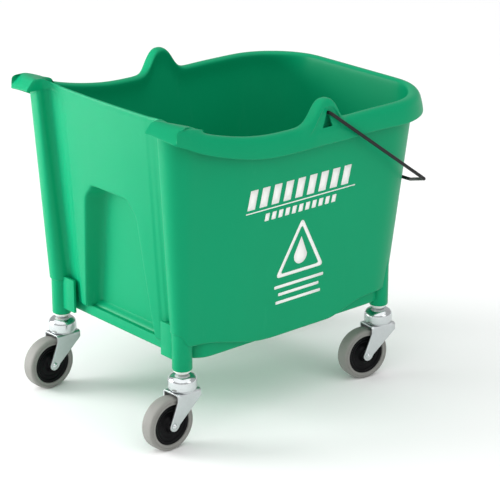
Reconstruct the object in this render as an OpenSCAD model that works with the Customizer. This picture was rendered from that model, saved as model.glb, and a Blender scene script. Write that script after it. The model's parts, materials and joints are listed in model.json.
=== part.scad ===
// Mop bucket on four swivel casters, with a wire bail.
// X runs from the wringer end (-X) to the pouring end (+X), Z up from the floor, millimetres.

/* [Bucket] */
// Length over the horns and the front rim
bucket_l = 520.7; // [470:0.1:600]
// Width over the side rims
bucket_w = 381; // [340:0.5:440]
// Height of the tub, from its underside to the side rims
tub_h = 307.5; // [270:0.5:370]
// Thickness of the moulded wall
wall = 3.6; // [3:0.1:5]
// How far each side wall leans out from base to rim
side_lean = 22; // [12:1:30]
// How far the front wall leans out from base to rim
front_lean = 44; // [20:1:60]
// How far the wringer end wall leans out from base to rim
end_lean = 24; // [10:1:36]

/* [Rim] */
// Width of the rolled rim over the side walls
side_rim = 11.3; // [8:0.1:16]
// Width of the rolled rim over the front wall
front_rim = 16.3; // [10:0.1:22]
// Depth of the down-turned skirt
skirt_h = 30; // [20:1:40]
// Thickness of the skirt
skirt_t = 3; // [2:0.1:4]
// Rise of the horns above the side rims
horn_rise = 45; // [25:1:60]
// Height of the end wall above the side rims
end_rise = 35.5; // [15:0.5:45]

/* [Bail] */
// Diameter of the bail wire
wire_d = 5; // [4:0.1:7]
// Clearance between the wire and its hole, on the radius
wire_gap = 0.1; // [0.05:0.01:0.1]
// Place of the lugs along the bucket
lug_x = 12; // [-20:1:40]
// Height of a lug above the side rim
lug_h = 35.5; // [26:0.5:45]
// Length of a lug along the rim
lug_l = 92; // [70:1:110]
// Reach of the bail's crossbar past the front rim, along its arm
bail_over = 16.65; // [8:0.05:30]
// Length of the bail's slanting shoulder
shoulder_l = 36; // [28:1:44]
// Clearance between the crossbar and the front wall, at rest
bail_rest = 0.7; // [0.3:0.1:3]

/* [Casters] */
// Diameter of the tyre
wheel_d = 76.2; // [70:0.1:80]
// Width of the tyre
tyre_w = 22; // [18:0.5:26]
// Thickness of the rubber
tyre_t = 9; // [6:0.5:12]
// Distance from the swivel axis back to the axle
trail = 27; // [22:0.5:32]
// Diameter of the caster stem
stem_d = 11.1; // [9:0.1:13]
// Height of the swivel head, from the fork plate to the top of the cap
head_h = 24.4; // [22:0.2:32]
// Distance of the swivel axes in from the side rims
caster_in_y = 51.2; // [45:0.1:60]
// Distance of the rear swivel axes in from the horn tips
rear_caster_in = 53.05; // [48:0.05:62]
// Distance of the front swivel axes in from the front rim
front_caster_in = 94.85; // [85:0.05:110]
// Outer diameter of a leg tube
leg_d = 28; // [26:0.5:32]

/* [Hidden] */

// fits
running = 0.08;
seat = 0.05;
through = 1;

// ---- heights, stacked up from the floor: wheel, swivel head, leg, tub ----
wheel_room = 3.4;
collar_h = 6.6;
leg_drop = 9.4;
plate_z = wheel_d + wheel_room;
cap_top_z = plate_z + head_h;
leg_bottom_z = cap_top_z + collar_h;
base_z = leg_bottom_z + leg_drop;
rim_z = base_z + tub_h;

// ---- tub proportions, from the overall sizes ----
half_l = bucket_l / 2;
half_w = bucket_w / 2;
rear_caster_x = rear_caster_in - half_l;
front_caster_x = half_l - front_caster_in;
caster_y = half_w - caster_in_y;
horn_tip_x = -half_l;
floor_t = 4;
rim_front_x = half_l;
rim_corner_r = 107;
rim_r_top = rim_corner_r - (side_rim + front_rim) / 2;
rim_r_base = rim_r_top - 25;
end_top_x = horn_tip_x + 37;
nose_top_x = end_top_x - 17;
bulge = 13.5;
channel_y = half_w - 84.5;
bulge_y = channel_y - 21;
band_inset = 7.5;
band_end_h = 17;
leg_step_z = base_z + 45;
straight_z = base_z + 80;
pocket_top_z = base_z + 211;
pocket_base_y = bulge_y - 7;
pocket_top_y = pocket_base_y - 24;
pocket_depth = 28;
pocket_draft_top = 14;
pocket_draft_base = 6;
bulge_fall = 0.55;
pocket_roof = 1.6;
lip = 7;
bead = 1.5;
crown = 9;

function mix(a, b, t) = a + (b - a) * t;
function ramp(t) = let (u = min(1, max(0, t))) u * u * (3 - 2 * u);
function lean(z, top, total) = top - total * (rim_z - z) / (rim_z - base_z);

function side_y(z) = lean(z, half_w - side_rim, side_lean);
function front_x(z) = lean(z, half_l - front_rim, front_lean);
function corner_r(z) = lean(z, rim_r_top, rim_r_top - rim_r_base);
function end_x(z) = -lean(z, -end_top_x, end_lean);
// the corner pillar: outer rounding round a centre that nearly stands over the leg
function pillar_r(z) = mix(leg_d / 2 + 0.5, 30, (z - leg_step_z) / (rim_z - leg_step_z));
function nose_r(z) = mix(leg_d / 2 + 0.5, 8, (z - leg_step_z) / (rim_z - leg_step_z));
function nose_x(z) = mix(rear_caster_x - leg_d / 2 - 0.5, nose_top_x, (z - leg_step_z) / (rim_z - leg_step_z));
function pillar_y(z) = mix(caster_y, half_w - side_rim - 8 - 30, (z - leg_step_z) / (rim_z - leg_step_z));
function pillar_side(z) = pillar_y(z) + pillar_r(z);
function bulge_at(z) = mix(bulge, 3, (z - base_z) / (rim_z + end_rise - base_z));
// the end wall's outer face, which swells out between its flanks
function face_x(y, z) = end_x(z) - bulge_at(z) * (1 - bulge_fall * pow(y / bulge_y, 2));
function pocket_draft(z) = mix(pocket_draft_base, pocket_draft_top, (z - base_z) / (pocket_top_z - base_z));
// the recessed pocket of the end wall: half width, and 1 under its roof, which is thicker than the wall
function pocket_y(z) = mix(pocket_base_y, pocket_top_y, (z - base_z - 20) / (pocket_top_z - base_z - 20))
    - 14 * ramp((z - pocket_top_z + 20) / 20);
function pocket_on(z, w) = z - pocket_roof * w < pocket_top_z + 0.1 ? 1 : 0;

// ---- stations: one half of the plan, from the front centre round to the rear centre ----
STEPS_FRONT = 4;
STEPS_CORNER = 10;
STEPS_PILLAR = 7;
STEPS_NOSE = 5;
lug_reach = lug_l / 2;
side_front_x = half_l - 140;
side_rear_x = 68.35 - half_l;
STEPS_AHEAD = 3;
STEPS_LUG = 12;
STEPS_BEHIND = 8;
side_places = concat(
    [for (i = [0 : STEPS_AHEAD - 1]) mix(side_front_x, lug_x + lug_reach, i / STEPS_AHEAD)],
    [for (i = [0 : STEPS_LUG]) lug_x + lug_reach * (1 - 2 * i / STEPS_LUG)],
    [for (i = [1 : STEPS_BEHIND]) mix(lug_x - lug_reach, side_rear_x, i / STEPS_BEHIND)]
);
// 0 to 1 over a stretch of the side wall that starts so far in from the horn tips
function rearward(x, start, length) = ramp((-x - half_l + start) / length);
half_stations = concat(
    [for (i = [0 : STEPS_FRONT - 1]) ["front", i / STEPS_FRONT]],
    [for (i = [0 : STEPS_CORNER]) ["corner", i / STEPS_CORNER]],
    [for (x = side_places) ["side", x]],
    [for (i = [0 : STEPS_PILLAR]) ["pillar", i / STEPS_PILLAR]],
    [for (i = [1 : STEPS_NOSE]) ["nose", i / STEPS_NOSE]],
    [for (i = [1 : 3]) ["notch", i / 3]],
    [["channel", 1]],
    [for (i = [1 : 3]) ["flank", i / 3]],
    [["face", 0.5]],
    [for (i = [0 : 3]) ["edge", i]],
    [["panel", 0.6], ["panel", 0]]
);

// a point of the outer wall's plan at height z, moved in by w
function wall_xy(s, z, w) =
    let (
        kind = s[0], t = s[1],
        r = corner_r(z), fx = front_x(z), sy = side_y(z),
        py = pocket_y(z) + w,
        on = pocket_on(z, w),
        draft = pocket_draft(z),
        panel = face_x(0, z) + w + pocket_depth
    )
    kind == "front" ? [fx - w, t * (sy - r)] :
    kind == "corner" ? [fx - r + (r - w) * cos(90 * t), sy - r + (r - w) * sin(90 * t)] :
    kind == "side" ? [t, sy - w - (sy - pillar_side(z)) * rearward(t, 145, 90)] :
    kind == "pillar" ?
        [nose_x(z) + pillar_r(z) - (pillar_r(z) - w) * sin(90 * t),
         pillar_y(z) + (pillar_r(z) - w) * cos(90 * t)] :
    kind == "nose" ?
        [nose_x(z) + nose_r(z) - (nose_r(z) - w) * cos(90 * t),
         nose_inner(z) + nose_r(z) - (nose_r(z) - w) * sin(90 * t)] :
    kind == "notch" ?
        [mix(nose_x(z) + nose_r(z), end_x(z) + w, ramp(t * 1.2)), nose_inner(z) + w - 8 * t * t] :
    kind == "channel" ? [end_x(z) + w, channel_y] :
    kind == "flank" ? [mix(end_x(z), face_x(bulge_y, z), ramp(t)) + w, mix(channel_y, bulge_y, t)] :
    kind == "face" ? [face_x(mix(bulge_y, py, 0.4), z) + w, mix(bulge_y, py, 0.4)] :
    kind == "edge" ?
        let (y = py + [2.5, 0, -0.8 * draft, -draft - 3][t], x = face_x(y, z) + w)
        [mix(x, panel, [0, 0.05, 0.9, 1][t] * on), y] :
    let (y = (py - draft - 3) * t) [mix(face_x(y, z) + w, panel, on), y];

function nose_inner(z) = min(pillar_y(z) - nose_r(z), mix(caster_y - leg_d / 2 - 0.5, horn_in_y - 1,
    (z - leg_step_z) / (rim_z - leg_step_z)));

// the inside of the tub: rounded corners of its own, with the pocket and the bulge showing through
inner_corner_r = 34;
function inner_xy(s, z) =
    let (
        kind = s[0], t = s[1], w = wall,
        cx = end_x(z) + w + inner_corner_r,
        cy = pillar_side(z) - w - inner_corner_r
    )
    kind == "pillar" ? [cx - inner_corner_r * sin(45 * t), cy + inner_corner_r * cos(45 * t)] :
    kind == "nose" ? [cx - inner_corner_r * sin(45 + 45 * t), cy + inner_corner_r * cos(45 + 45 * t)] :
    kind == "notch" ? [end_x(z) + w, mix(cy, min(cy, channel_y) - 0.2, t * 0.9)] :
    kind == "channel" ? [end_x(z) + w, min(cy, channel_y) - 0.4] :
    kind == "flank" ? [mix(end_x(z), face_x(bulge_y, z), ramp(t)) + w,
                       mix(min(cy, channel_y) - 0.4, bulge_y + w, t)] :
    wall_xy(s, z, w);

// the set-in base band, moved in by w
band_r = 36;
function band_xy(s, w) =
    let (
        kind = s[0], t = s[1],
        fx = front_x(base_z) - band_inset, sy = side_y(base_z) - band_inset,
        ex = end_x(base_z), r = rim_r_base - band_inset
    )
    kind == "front" ? [fx - w, t * (sy - r)] :
    kind == "corner" ? [fx - r + (r - w) * cos(90 * t), sy - r + (r - w) * sin(90 * t)] :
    kind == "side" ? [max(t, ex + band_r + 2 + 0.02 * (t - side_rear_x)), sy - w] :
    kind == "pillar" ? [ex + band_r - (band_r - w) * sin(90 * t), sy - band_r + (band_r - w) * cos(90 * t)] :
    kind == "nose" ? [ex + w, sy - band_r - 2 * t] :
    kind == "notch" ? [ex + w, sy - band_r - 2 - t] :
    kind == "channel" ? [ex + w, channel_y - 2] :
    kind == "flank" ? [ex + w, mix(channel_y - 2, bulge_y, t)] :
    kind == "face" ? [ex + w, mix(bulge_y, pocket_base_y, 0.4)] :
    kind == "edge" ? [ex + w, pocket_base_y + [2.2, 0, -3, -7][t]] :
    [ex + w, (pocket_base_y - 7) * t];

// the outermost plan of the rim, with the square-ended horns
horn_y = half_w - 5;
horn_in_y = half_w - 59.5;
horn_base_x = horn_tip_x + 49.35;
function rim_xy(s) =
    let (
        kind = s[0], t = s[1], r = rim_corner_r,
        wall_p = wall_xy(s, rim_z + end_rise, -bead)
    )
    kind == "front" ? [rim_front_x, t * (half_w - r)] :
    kind == "corner" ? [rim_front_x - r + r * cos(90 * t), half_w - r + r * sin(90 * t)] :
    kind == "side" ? [t, half_w - 2 * rearward(t, 130, 90)] :
    kind == "pillar" ?
        (t < 0.5 ?
            [mix(horn_base_x, horn_tip_x + 11, t / 0.43), mix(half_w - 2, horn_y, t / 0.43)] :
            [mix(horn_tip_x + 9, horn_tip_x + 3, (t - 0.57) / 0.43),
             mix(horn_y - 2, horn_in_y + 17, (t - 0.57) / 0.43)]) :
    kind == "nose" ?
        [horn_tip_x + [2, 0.4, 0, 4, 14][round(t * STEPS_NOSE) - 1],
         horn_in_y + [9, 4, 1.5, 0, 0][round(t * STEPS_NOSE) - 1]] :
    kind == "notch" ? [mix(horn_tip_x + 24, wall_p[0], t), mix(horn_in_y, wall_p[1], t)] :
    wall_p;

// height of the rim's crown
function side_top(x) = rim_z + horn_rise * pow(max(0, (-x - 66) / (half_l - 76)), 1.75)
    + 1.3 * ramp((x - 40) / 60);
function lug_at(x) = abs(x - lug_x) < lug_reach ? lug_h * pow(cos(90 * (x - lug_x) / lug_reach), 1.6) : 0;
function top_z(s) =
    let (kind = s[0], t = s[1], horn = rim_z + horn_rise)
    kind == "front" || kind == "corner" ? rim_z + 1.3 :
    kind == "side" ? side_top(t) + lug_at(t) :
    kind == "pillar" ? min(horn - 3 + 2 * t, side_top(rim_xy(s)[0])) :
    kind == "nose" ? horn :
    kind == "notch" ? mix(horn, rim_z + end_rise + 2, t) :
    kind == "channel" ? rim_z + end_rise + 0.5 :
    rim_z + end_rise;
function skirt_z(s) =
    let (kind = s[0], t = s[1], top = top_z(s))
    kind == "front" || kind == "corner" ? rim_z - skirt_h :
    kind == "side" ? side_top(t) - skirt_h + 2.5 * rearward(t, 160, 100) :
    kind == "pillar" ? top - mix(27, 22, t) :
    kind == "nose" ? top - 22 :
    kind == "notch" ? top - mix(22, 11, t) :
    top - 10;
// lower edge of the outer wall: it lifts beside each leg and over the end band
function low_z(s) =
    let (kind = s[0], t = s[1])
    kind == "front" ? base_z + 8 :
    kind == "corner" ? base_z + mix(16, 8, abs(2 * t - 1)) :
    kind == "side" ? base_z + 1.5 + 30 * rearward(t, 165, 100) + 6 * ramp((t - half_l + 200) / 60) :
    kind == "pillar" ? mix(base_z + 32, leg_step_z, ramp(2 * t)) :
    kind == "nose" ? leg_step_z :
    kind == "notch" ? mix(leg_step_z, base_z + band_end_h, t) :
    base_z + band_end_h;

function flare(s, z, f) =
    let (a = wall_xy(s, z, 0), b = rim_xy(s)) [mix(a[0], b[0], f), mix(a[1], b[1], f), z];
function on_wall(s, z, w) = concat(wall_xy(s, z, w), z);
function on_inner(s, z) = concat(inner_xy(s, z), z);
// the rim's inward lip: it runs along the sides and corners, and stops at the pouring lip
function lip_at(s) = s[0] == "side" || (s[0] == "corner" && s[1] > 0.05) ? lip : 0;
function lipped(s, z, share) =
    let (a = inner_xy(s, z), k = lip_at(s) * share, c = s[0] == "corner" ? 90 * s[1] : 90)
    [a[0] - k * cos(c), a[1] - k * sin(c), z];
function both(points) = concat(
    points,
    [for (i = [len(points) - 2 : -1 : 1]) [points[i][0], -points[i][1], points[i][2]]]
);
// share of the skirt's width that is hollow
function hollow_share(s) =
    let (a = wall_xy(s, top_z(s), 0), b = rim_xy(s), d = max(0.5, norm(b - a))) max(0.2, 1 - skirt_t / d);

// the crown's section: share of the way from the skirt to the inside, and drop below the top
crown_profile = [[0, crown], [0.05, crown * 0.45], [0.18, crown * 0.12], [0.4, 0], [0.8, 0.6], [1, 3]];
function crown_point(s, f, drop) =
    let (a = rim_xy(s), b = lipped(s, top_z(s), 1)) [mix(a[0], b[0], f), mix(a[1], b[1], f), top_z(s) - drop];
// the lip fades into the inside wall: drop below the top, and share of the lip left
lip_profile = [[9, 0.75], [22, 0.25], [38, 0]];

levels_low = [0, 0.45, 1];
levels_mid = [base_z + 130, pocket_top_z - 20, pocket_top_z - 12, pocket_top_z - 5, pocket_top_z,
              pocket_top_z + 4, rim_z - 50];
roof_z = pocket_top_z + pocket_roof * wall;
levels_inner = [rim_z - 70, roof_z + 4, roof_z, pocket_top_z - 5, pocket_top_z - 18, base_z + 130];

tub_rings = concat(
    [both([for (s = half_stations) concat(band_xy(s, 2), base_z)])],
    [both([for (s = half_stations) concat(band_xy(s, 0), base_z + 1.2)])],
    [both([for (s = half_stations) concat(band_xy(s, 0), low_z(s) - 0.1)])],
    [for (u = levels_low) both([for (s = half_stations) on_wall(s, mix(low_z(s), straight_z, u), 0)])],
    [for (z = levels_mid) both([for (s = half_stations) on_wall(s, z, 0)])],
    [both([for (s = half_stations) flare(s, skirt_z(s) + 3, 0)])],
    [both([for (s = half_stations) flare(s, top_z(s) - 6, 0)])],
    [both([for (s = half_stations) flare(s, top_z(s) - 6, hollow_share(s))])],
    [both([for (s = half_stations) flare(s, skirt_z(s), hollow_share(s))])],
    [both([for (s = half_stations) flare(s, skirt_z(s), 1)])],
    [for (c = crown_profile) both([for (s = half_stations) crown_point(s, c[0], c[1])])],
    [for (l = lip_profile) both([for (s = half_stations) lipped(s, top_z(s) - l[0], l[1])])],
    [for (z = levels_inner) both([for (s = half_stations) on_inner(s, z)])],
    [for (u = [1, 0.45, 0.05]) both([for (s = half_stations) on_inner(s, mix(low_z(s), straight_z, u) + wall)])],
    [both([for (s = half_stations) concat(band_xy(s, wall), low_z(s) + wall - 0.2)])],
    [both([for (s = half_stations) concat(band_xy(s, wall + 3), base_z + floor_t)])]
);

module tub_shell() {
    n = len(tub_rings[0]);
    m = len(tub_rings);
    points = concat([for (r = tub_rings) for (p = r) p], [[0, 0, base_z], [0, 0, base_z + floor_t]]);
    faces = concat(
        [for (i = [0 : n - 1]) [i, (i + 1) % n, m * n]],
        [for (j = [0 : m - 2]) for (i = [0 : n - 1]) let (k = (i + 1) % n)
            [j * n + i, (j + 1) * n + i, (j + 1) * n + k]],
        [for (j = [0 : m - 2]) for (i = [0 : n - 1]) let (k = (i + 1) % n)
            [j * n + i, (j + 1) * n + k, j * n + k]],
        [for (i = [0 : n - 1]) [(m - 1) * n + (i + 1) % n, (m - 1) * n + i, m * n + 1]]
    );
    polyhedron(points, faces, convexity = 8);
}

// ---- lugs, legs and sockets ----
pivot_z = rim_z + lug_h - 19.5;
hole_r = wire_d / 2 + wire_gap;
hole_drop = 21;
head_r = wire_d / 2 + 1.3;
hole_half = head_r + 5.7;
leg_top_z = straight_z - 8;
insert_t = 1.95;
insert_r = stem_d / 2 + seat + insert_t;
socket_r = insert_r + seat;
socket_depth = 46;
caster_places = [
    ["front_left", front_caster_x, caster_y, 0],
    ["front_right", front_caster_x, -caster_y, -10],
    ["rear_left", rear_caster_x, caster_y, 0],
    ["rear_right", rear_caster_x, -caster_y, 0]
];

module leg_tube() {
    translate([0, 0, leg_bottom_z]) cylinder(h = leg_top_z - leg_bottom_z, d = leg_d, $fn = 48);
    translate([0, 0, leg_top_z]) cylinder(h = 7, d1 = leg_d, d2 = leg_d - 12, $fn = 48);
}

// the hole hangs the wire in its round apex, and its wide foot lets the wire's head through
module bail_hole() {
    length = through + skirt_t + 5;
    translate([lug_x, half_w + through, pivot_z]) rotate([90, 0, 0]) {
        cylinder(h = length, r = hole_r, $fn = 48);
        linear_extrude(height = length)
            polygon([[-hole_r * 0.9, -0.6], [-hole_half, -hole_drop], [hole_half, -hole_drop],
                     [hole_r * 0.9, -0.6]]);
    }
}

module bucket() {
    color([0.06, 0.6, 0.4]) difference() {
        union() {
            tub_shell();
            for (p = caster_places) translate([p[1], p[2], 0]) leg_tube();
        }
        for (p = caster_places) translate([p[1], p[2], leg_bottom_z - through])
            cylinder(h = socket_depth + through, r = socket_r, $fn = 48);
        bail_hole();
        mirror([0, 1, 0]) bail_hole();
    }
}

// ---- bail ----
bail_reach = half_l - lug_x + bail_over;
arm_l = bail_reach - shoulder_l;
// the arms hang until the crossbar rests against the leaning front wall
wall_turn = atan2(front_lean, tub_h);
wall_reach = half_l - front_rim + front_lean * (pivot_z - rim_z) / tub_h + wire_d / 2 + bail_rest - lug_x;
bail_angle = wall_turn + acos(wall_reach * cos(wall_turn) / bail_reach);
bail_y = half_w + wire_d / 2 + 1.2;
pin_in_y = half_w - 6.4;
head_t = 2;
grip_y = half_w - 55.5;
bend_r = 9;
WIRE_SIDES = 16;
// the wire's middle line as distance out from the pivot and place across, one half
bail_half = [[0, bail_y - 2.6], [1, bail_y - 0.6], [3, bail_y], [arm_l - bend_r, bail_y],
             [arm_l - 3, bail_y - 1.8], [arm_l + 2.5, bail_y - 6.5],
             [bail_reach - 6, grip_y + 11], [bail_reach - 1.8, grip_y + 4], [bail_reach, grip_y - 4]];
bail_line = concat(bail_half, [for (i = [len(bail_half) - 1 : -1 : 0]) [bail_half[i][0], -bail_half[i][1]]]);
function bail_point(p) =
    [lug_x + p[0] * cos(bail_angle), p[1], pivot_z - p[0] * sin(bail_angle)];
function unit(v) = v / norm(v);
function bail_tangent(i) =
    let (a = bail_line[max(0, i - 1)], b = bail_line[min(len(bail_line) - 1, i + 1)])
    i == 0 ? [0, 1] : i == len(bail_line) - 1 ? [0, 1] : unit(b - a);

module bail_wire() {
    n = len(bail_line);
    out = [cos(bail_angle), 0, -sin(bail_angle)];
    across = [0, 1, 0];
    normal = [sin(bail_angle), 0, cos(bail_angle)];
    // the wire's two ends are drawn thinner where the pins cover them, so that no surfaces coincide
    rings = [for (i = [0 : n - 1])
        let (t = bail_tangent(i), side = t[0] * across - t[1] * out)
        let (r = wire_d / 2 * (i == 0 || i == n - 1 ? 0.85 : 1))
        [for (k = [0 : WIRE_SIDES - 1])
            let (a = 360 * k / WIRE_SIDES)
            bail_point(bail_line[i]) + r * (cos(a) * side + sin(a) * normal)]];
    points = [for (r = rings) for (p = r) p];
    faces = concat(
        [[for (k = [0 : WIRE_SIDES - 1]) k]],
        [for (i = [0 : n - 2]) for (k = [0 : WIRE_SIDES - 1]) let (m = (k + 1) % WIRE_SIDES)
            [i * WIRE_SIDES + k, (i + 1) * WIRE_SIDES + k, (i + 1) * WIRE_SIDES + m]],
        [for (i = [0 : n - 2]) for (k = [0 : WIRE_SIDES - 1]) let (m = (k + 1) % WIRE_SIDES)
            [i * WIRE_SIDES + k, (i + 1) * WIRE_SIDES + m, i * WIRE_SIDES + m]],
        [[for (k = [WIRE_SIDES - 1 : -1 : 0]) (n - 1) * WIRE_SIDES + k]]
    );
    polyhedron(points, faces, convexity = 6);
}

module bail_pin() {
    translate([lug_x, bail_y - 1.5, pivot_z]) rotate([90, 0, 0])
        cylinder(h = bail_y - 1.5 - pin_in_y, d = wire_d, $fn = 32);
    translate([lug_x, pin_in_y, pivot_z]) rotate([90, 0, 0]) cylinder(h = head_t, r = head_r, $fn = 32);
}

module bail() {
    color([0.05, 0.05, 0.05]) {
        bail_wire();
        bail_pin();
        mirror([0, 1, 0]) bail_pin();
    }
}

// ---- one caster, on its own swivel axis, wheel trailing towards -X ----
axle_z = wheel_d / 2;
tyre_edge = 3.5;
hub_r = axle_z - tyre_t;
hub_w = tyre_w - 3;
hub_boss_w = tyre_w + 4;
fork_gap = hub_boss_w + 1.6;
plate_t = 2.3;
plate_half = 19;
axle_d = 6;
bush_r = 5;
kingpin_d = 8;
cap_r = 20.5;
cap_t = 1.8;
cap_low_z = plate_z + plate_t + 1.6;
ball_d = 5;
ball_ring_r = 13.6;
ball_z = plate_z + plate_t + 5;
ball_count = 14;
ball_gap = 0.12;
stem_top_z = leg_bottom_z + 38;
ring_z = stem_top_z - 9;
insert_h = 41;
collar_r = leg_d / 2 - 1.6;

module socket_insert() {
    color([0.93, 0.93, 0.9]) rotate_extrude($fn = 64) polygon([
        [stem_d / 2 + seat, cap_top_z + 0.2], [insert_r + 0.65, cap_top_z + 0.2],
        [collar_r, leg_bottom_z - 1.8], [collar_r, leg_bottom_z - seat], [insert_r, leg_bottom_z - seat],
        [insert_r, leg_bottom_z + insert_h - 1], [insert_r - 1, leg_bottom_z + insert_h],
        [stem_d / 2 + seat, leg_bottom_z + insert_h]
    ]);
}

module stem() {
    color([0.75, 0.76, 0.78]) rotate_extrude($fn = 64) polygon([
        [0, plate_z - 5.4], [5.4, plate_z - 5.4], [6.6, plate_z - 4.4], [6.6, plate_z - 1.6],
        [kingpin_d / 2, plate_z - 1.6], [kingpin_d / 2, cap_low_z + 5.2], [stem_d / 2, cap_low_z + 5.2],
        [stem_d / 2, ring_z], [stem_d / 2 - 1.2, ring_z + 0.4], [stem_d / 2 - 1.2, ring_z + 3],
        [stem_d / 2, ring_z + 3.4], [stem_d / 2, stem_top_z - 2], [stem_d / 2 - 2, stem_top_z], [0, stem_top_z]
    ]);
}

module grip_ring() {
    color([0.6, 0.61, 0.63]) translate([0, 0, ring_z + 0.7]) difference() {
        cylinder(h = 2, r = stem_d / 2 + 0.02, $fn = 48);
        translate([0, 0, -through]) cylinder(h = 2 + 2 * through, r = stem_d / 2 - 1.1, $fn = 48);
        translate([0, -1, -through]) cube([stem_d, 2, 2 + 2 * through]);
    }
}

module raceway_cap() {
    neck_r = stem_d / 2 + 3.85;
    color([0.82, 0.83, 0.85]) rotate_extrude($fn = 64) polygon(concat(
        [[stem_d / 2 + seat, cap_top_z], [neck_r, cap_top_z]],
        [for (a = [80 : -10 : 0]) [neck_r + (cap_r - neck_r) * cos(a), cap_top_z - 9.2 + 8.4 * sin(a)]],
        [[cap_r, cap_low_z + 1], [cap_r - 1, cap_low_z], [cap_r - cap_t, cap_low_z],
         [cap_r - cap_t, ball_z + 1.2], [ball_ring_r + 2.6, ball_z + 2.2], [ball_ring_r + 1.5, ball_z + 2.25],
         [ball_ring_r, ball_z + ball_d / 2 + ball_gap], [ball_ring_r - 1.5, ball_z + 2.25],
         [stem_d / 2 + seat, ball_z + 2.25]]
    ));
}

module ball_set() {
    color([0.8, 0.81, 0.83]) for (i = [0 : ball_count - 1]) rotate([0, 0, 360 * i / ball_count])
        translate([ball_ring_r, 0, ball_z]) sphere(d = ball_d, $fn = 24);
}

// one cheek of the fork, in the plane of the wheel: wide under the plate, round at the axle
module cheek() {
    foot_r = 7.8;
    foot_from = -30;
    foot_turn = -158;
    STEPS_FOOT = 18;
    rotate([90, 0, 0]) linear_extrude(height = plate_t, center = true) polygon(concat(
        [[-plate_half - 2, plate_z + plate_t], [plate_half + 1, plate_z + plate_t],
         [plate_half + 1, plate_z - 8]],
        [for (i = [0 : STEPS_FOOT]) let (a = foot_from + foot_turn * i / STEPS_FOOT)
            [-trail + foot_r * cos(a), axle_z + foot_r * sin(a)]]
    ));
}

module fork() {
    cheek_y = fork_gap / 2 + plate_t / 2;
    race_depth = 1;
    race_floor_z = ball_z - ball_d / 2 - ball_gap;
    race_h = race_floor_z + race_depth - plate_z - plate_t;
    color([0.75, 0.78, 0.78]) difference() {
        union() {
            translate([-plate_half - 2, -fork_gap / 2 - plate_t, plate_z])
                cube([2 * plate_half + 3, fork_gap + 2 * plate_t, plate_t]);
            translate([0, 0, plate_z]) cylinder(h = plate_t + race_h, r = ball_ring_r + 3, $fn = 64);
            translate([0, cheek_y, 0]) cheek();
            translate([0, -cheek_y, 0]) cheek();
        }
        translate([0, 0, plate_z - through])
            cylinder(h = plate_t + race_h + 2 * through, r = kingpin_d / 2 + running, $fn = 48);
        translate([0, 0, race_floor_z]) rotate_extrude($fn = 64)
            polygon([[ball_ring_r - 2.5, race_depth + 0.1], [ball_ring_r - 1.6, 0], [ball_ring_r + 1.6, 0],
                     [ball_ring_r + 2.5, race_depth + 0.1]]);
        translate([-trail, fork_gap, axle_z]) rotate([90, 0, 0])
            cylinder(h = 2 * fork_gap, r = axle_d / 2 + seat, $fn = 48);
    }
}

module kingpin_washer() {
    color([0.7, 0.71, 0.73]) translate([0, 0, plate_z - 1.55]) difference() {
        cylinder(h = 1.4, r = 9, $fn = 48);
        translate([0, 0, -through]) cylinder(h = 1.4 + 2 * through, r = kingpin_d / 2 + seat, $fn = 48);
    }
}

module bushing() {
    length = fork_gap - 0.1;
    color([0.62, 0.63, 0.65]) translate([-trail, length / 2, axle_z]) rotate([90, 0, 0]) difference() {
        cylinder(h = length, r = bush_r, $fn = 48);
        translate([0, 0, -through]) cylinder(h = length + 2 * through, r = axle_d / 2 + seat, $fn = 48);
    }
}

module axle() {
    reach = fork_gap / 2 + plate_t + 0.05;
    color([0.78, 0.79, 0.81]) translate([-trail, 0, axle_z]) rotate([90, 0, 0]) rotate_extrude($fn = 48)
        polygon([[0, -reach - 3], [2.6, -reach - 2.8], [4.2, -reach - 1.8], [4.6, -reach],
                 [axle_d / 2, -reach], [axle_d / 2, reach], [4.6, reach], [4.2, reach + 1.8],
                 [2.6, reach + 2.8], [0, reach + 3]]);
}

module hub() {
    web = 5;
    color([0.04, 0.04, 0.045]) translate([-trail, 0, axle_z]) rotate([90, 0, 0]) rotate_extrude($fn = 72)
        polygon([[bush_r + running, -hub_boss_w / 2], [8.6, -hub_boss_w / 2], [9.6, -hub_boss_w / 2 + 3],
                 [12, -web / 2 - 3.5], [hub_r - 6, -web / 2 - 4.5], [hub_r - 4, -hub_w / 2],
                 [hub_r - seat, -hub_w / 2],
                 [hub_r - seat, hub_w / 2], [hub_r - 4, hub_w / 2], [hub_r - 6, web / 2 + 4.5],
                 [12, web / 2 + 3.5], [9.6, hub_boss_w / 2 - 3], [8.6, hub_boss_w / 2],
                 [bush_r + running, hub_boss_w / 2]]);
}

module tyre() {
    color([0.62, 0.61, 0.58]) translate([-trail, 0, axle_z]) rotate([90, 0, 0]) rotate_extrude($fn = 96)
        polygon(concat(
            [[hub_r, -tyre_w / 2], [axle_z - tyre_edge, -tyre_w / 2]],
            [for (a = [-75 : 15 : -15]) [axle_z - tyre_edge + (tyre_edge - 0.5) * cos(a),
                                         -tyre_w / 2 + tyre_edge + tyre_edge * sin(a)]],
            [[axle_z - 0.2, -tyre_w / 4], [axle_z, 0], [axle_z - 0.2, tyre_w / 4]],
            [for (a = [15 : 15 : 75]) [axle_z - tyre_edge + (tyre_edge - 0.5) * cos(a),
                                       tyre_w / 2 - tyre_edge + tyre_edge * sin(a)]],
            [[axle_z - tyre_edge, tyre_w / 2], [hub_r, tyre_w / 2]]
        ));
}

// the origin is on the floor, midway between the front rim and the back of the rear wheels
centre_x = (trail + wheel_d / 2 - rear_caster_x - half_l) / 2;

translate([centre_x, 0, 0]) bucket();
translate([centre_x, 0, 0]) bail();
for (p = caster_places) translate([centre_x + p[1], p[2], 0]) rotate([0, 0, p[3]]) {
    socket_insert();
    grip_ring();
    stem();
    raceway_cap();
    ball_set();
    fork();
    kingpin_washer();
    bushing();
    axle();
    hub();
    tyre();
}
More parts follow.
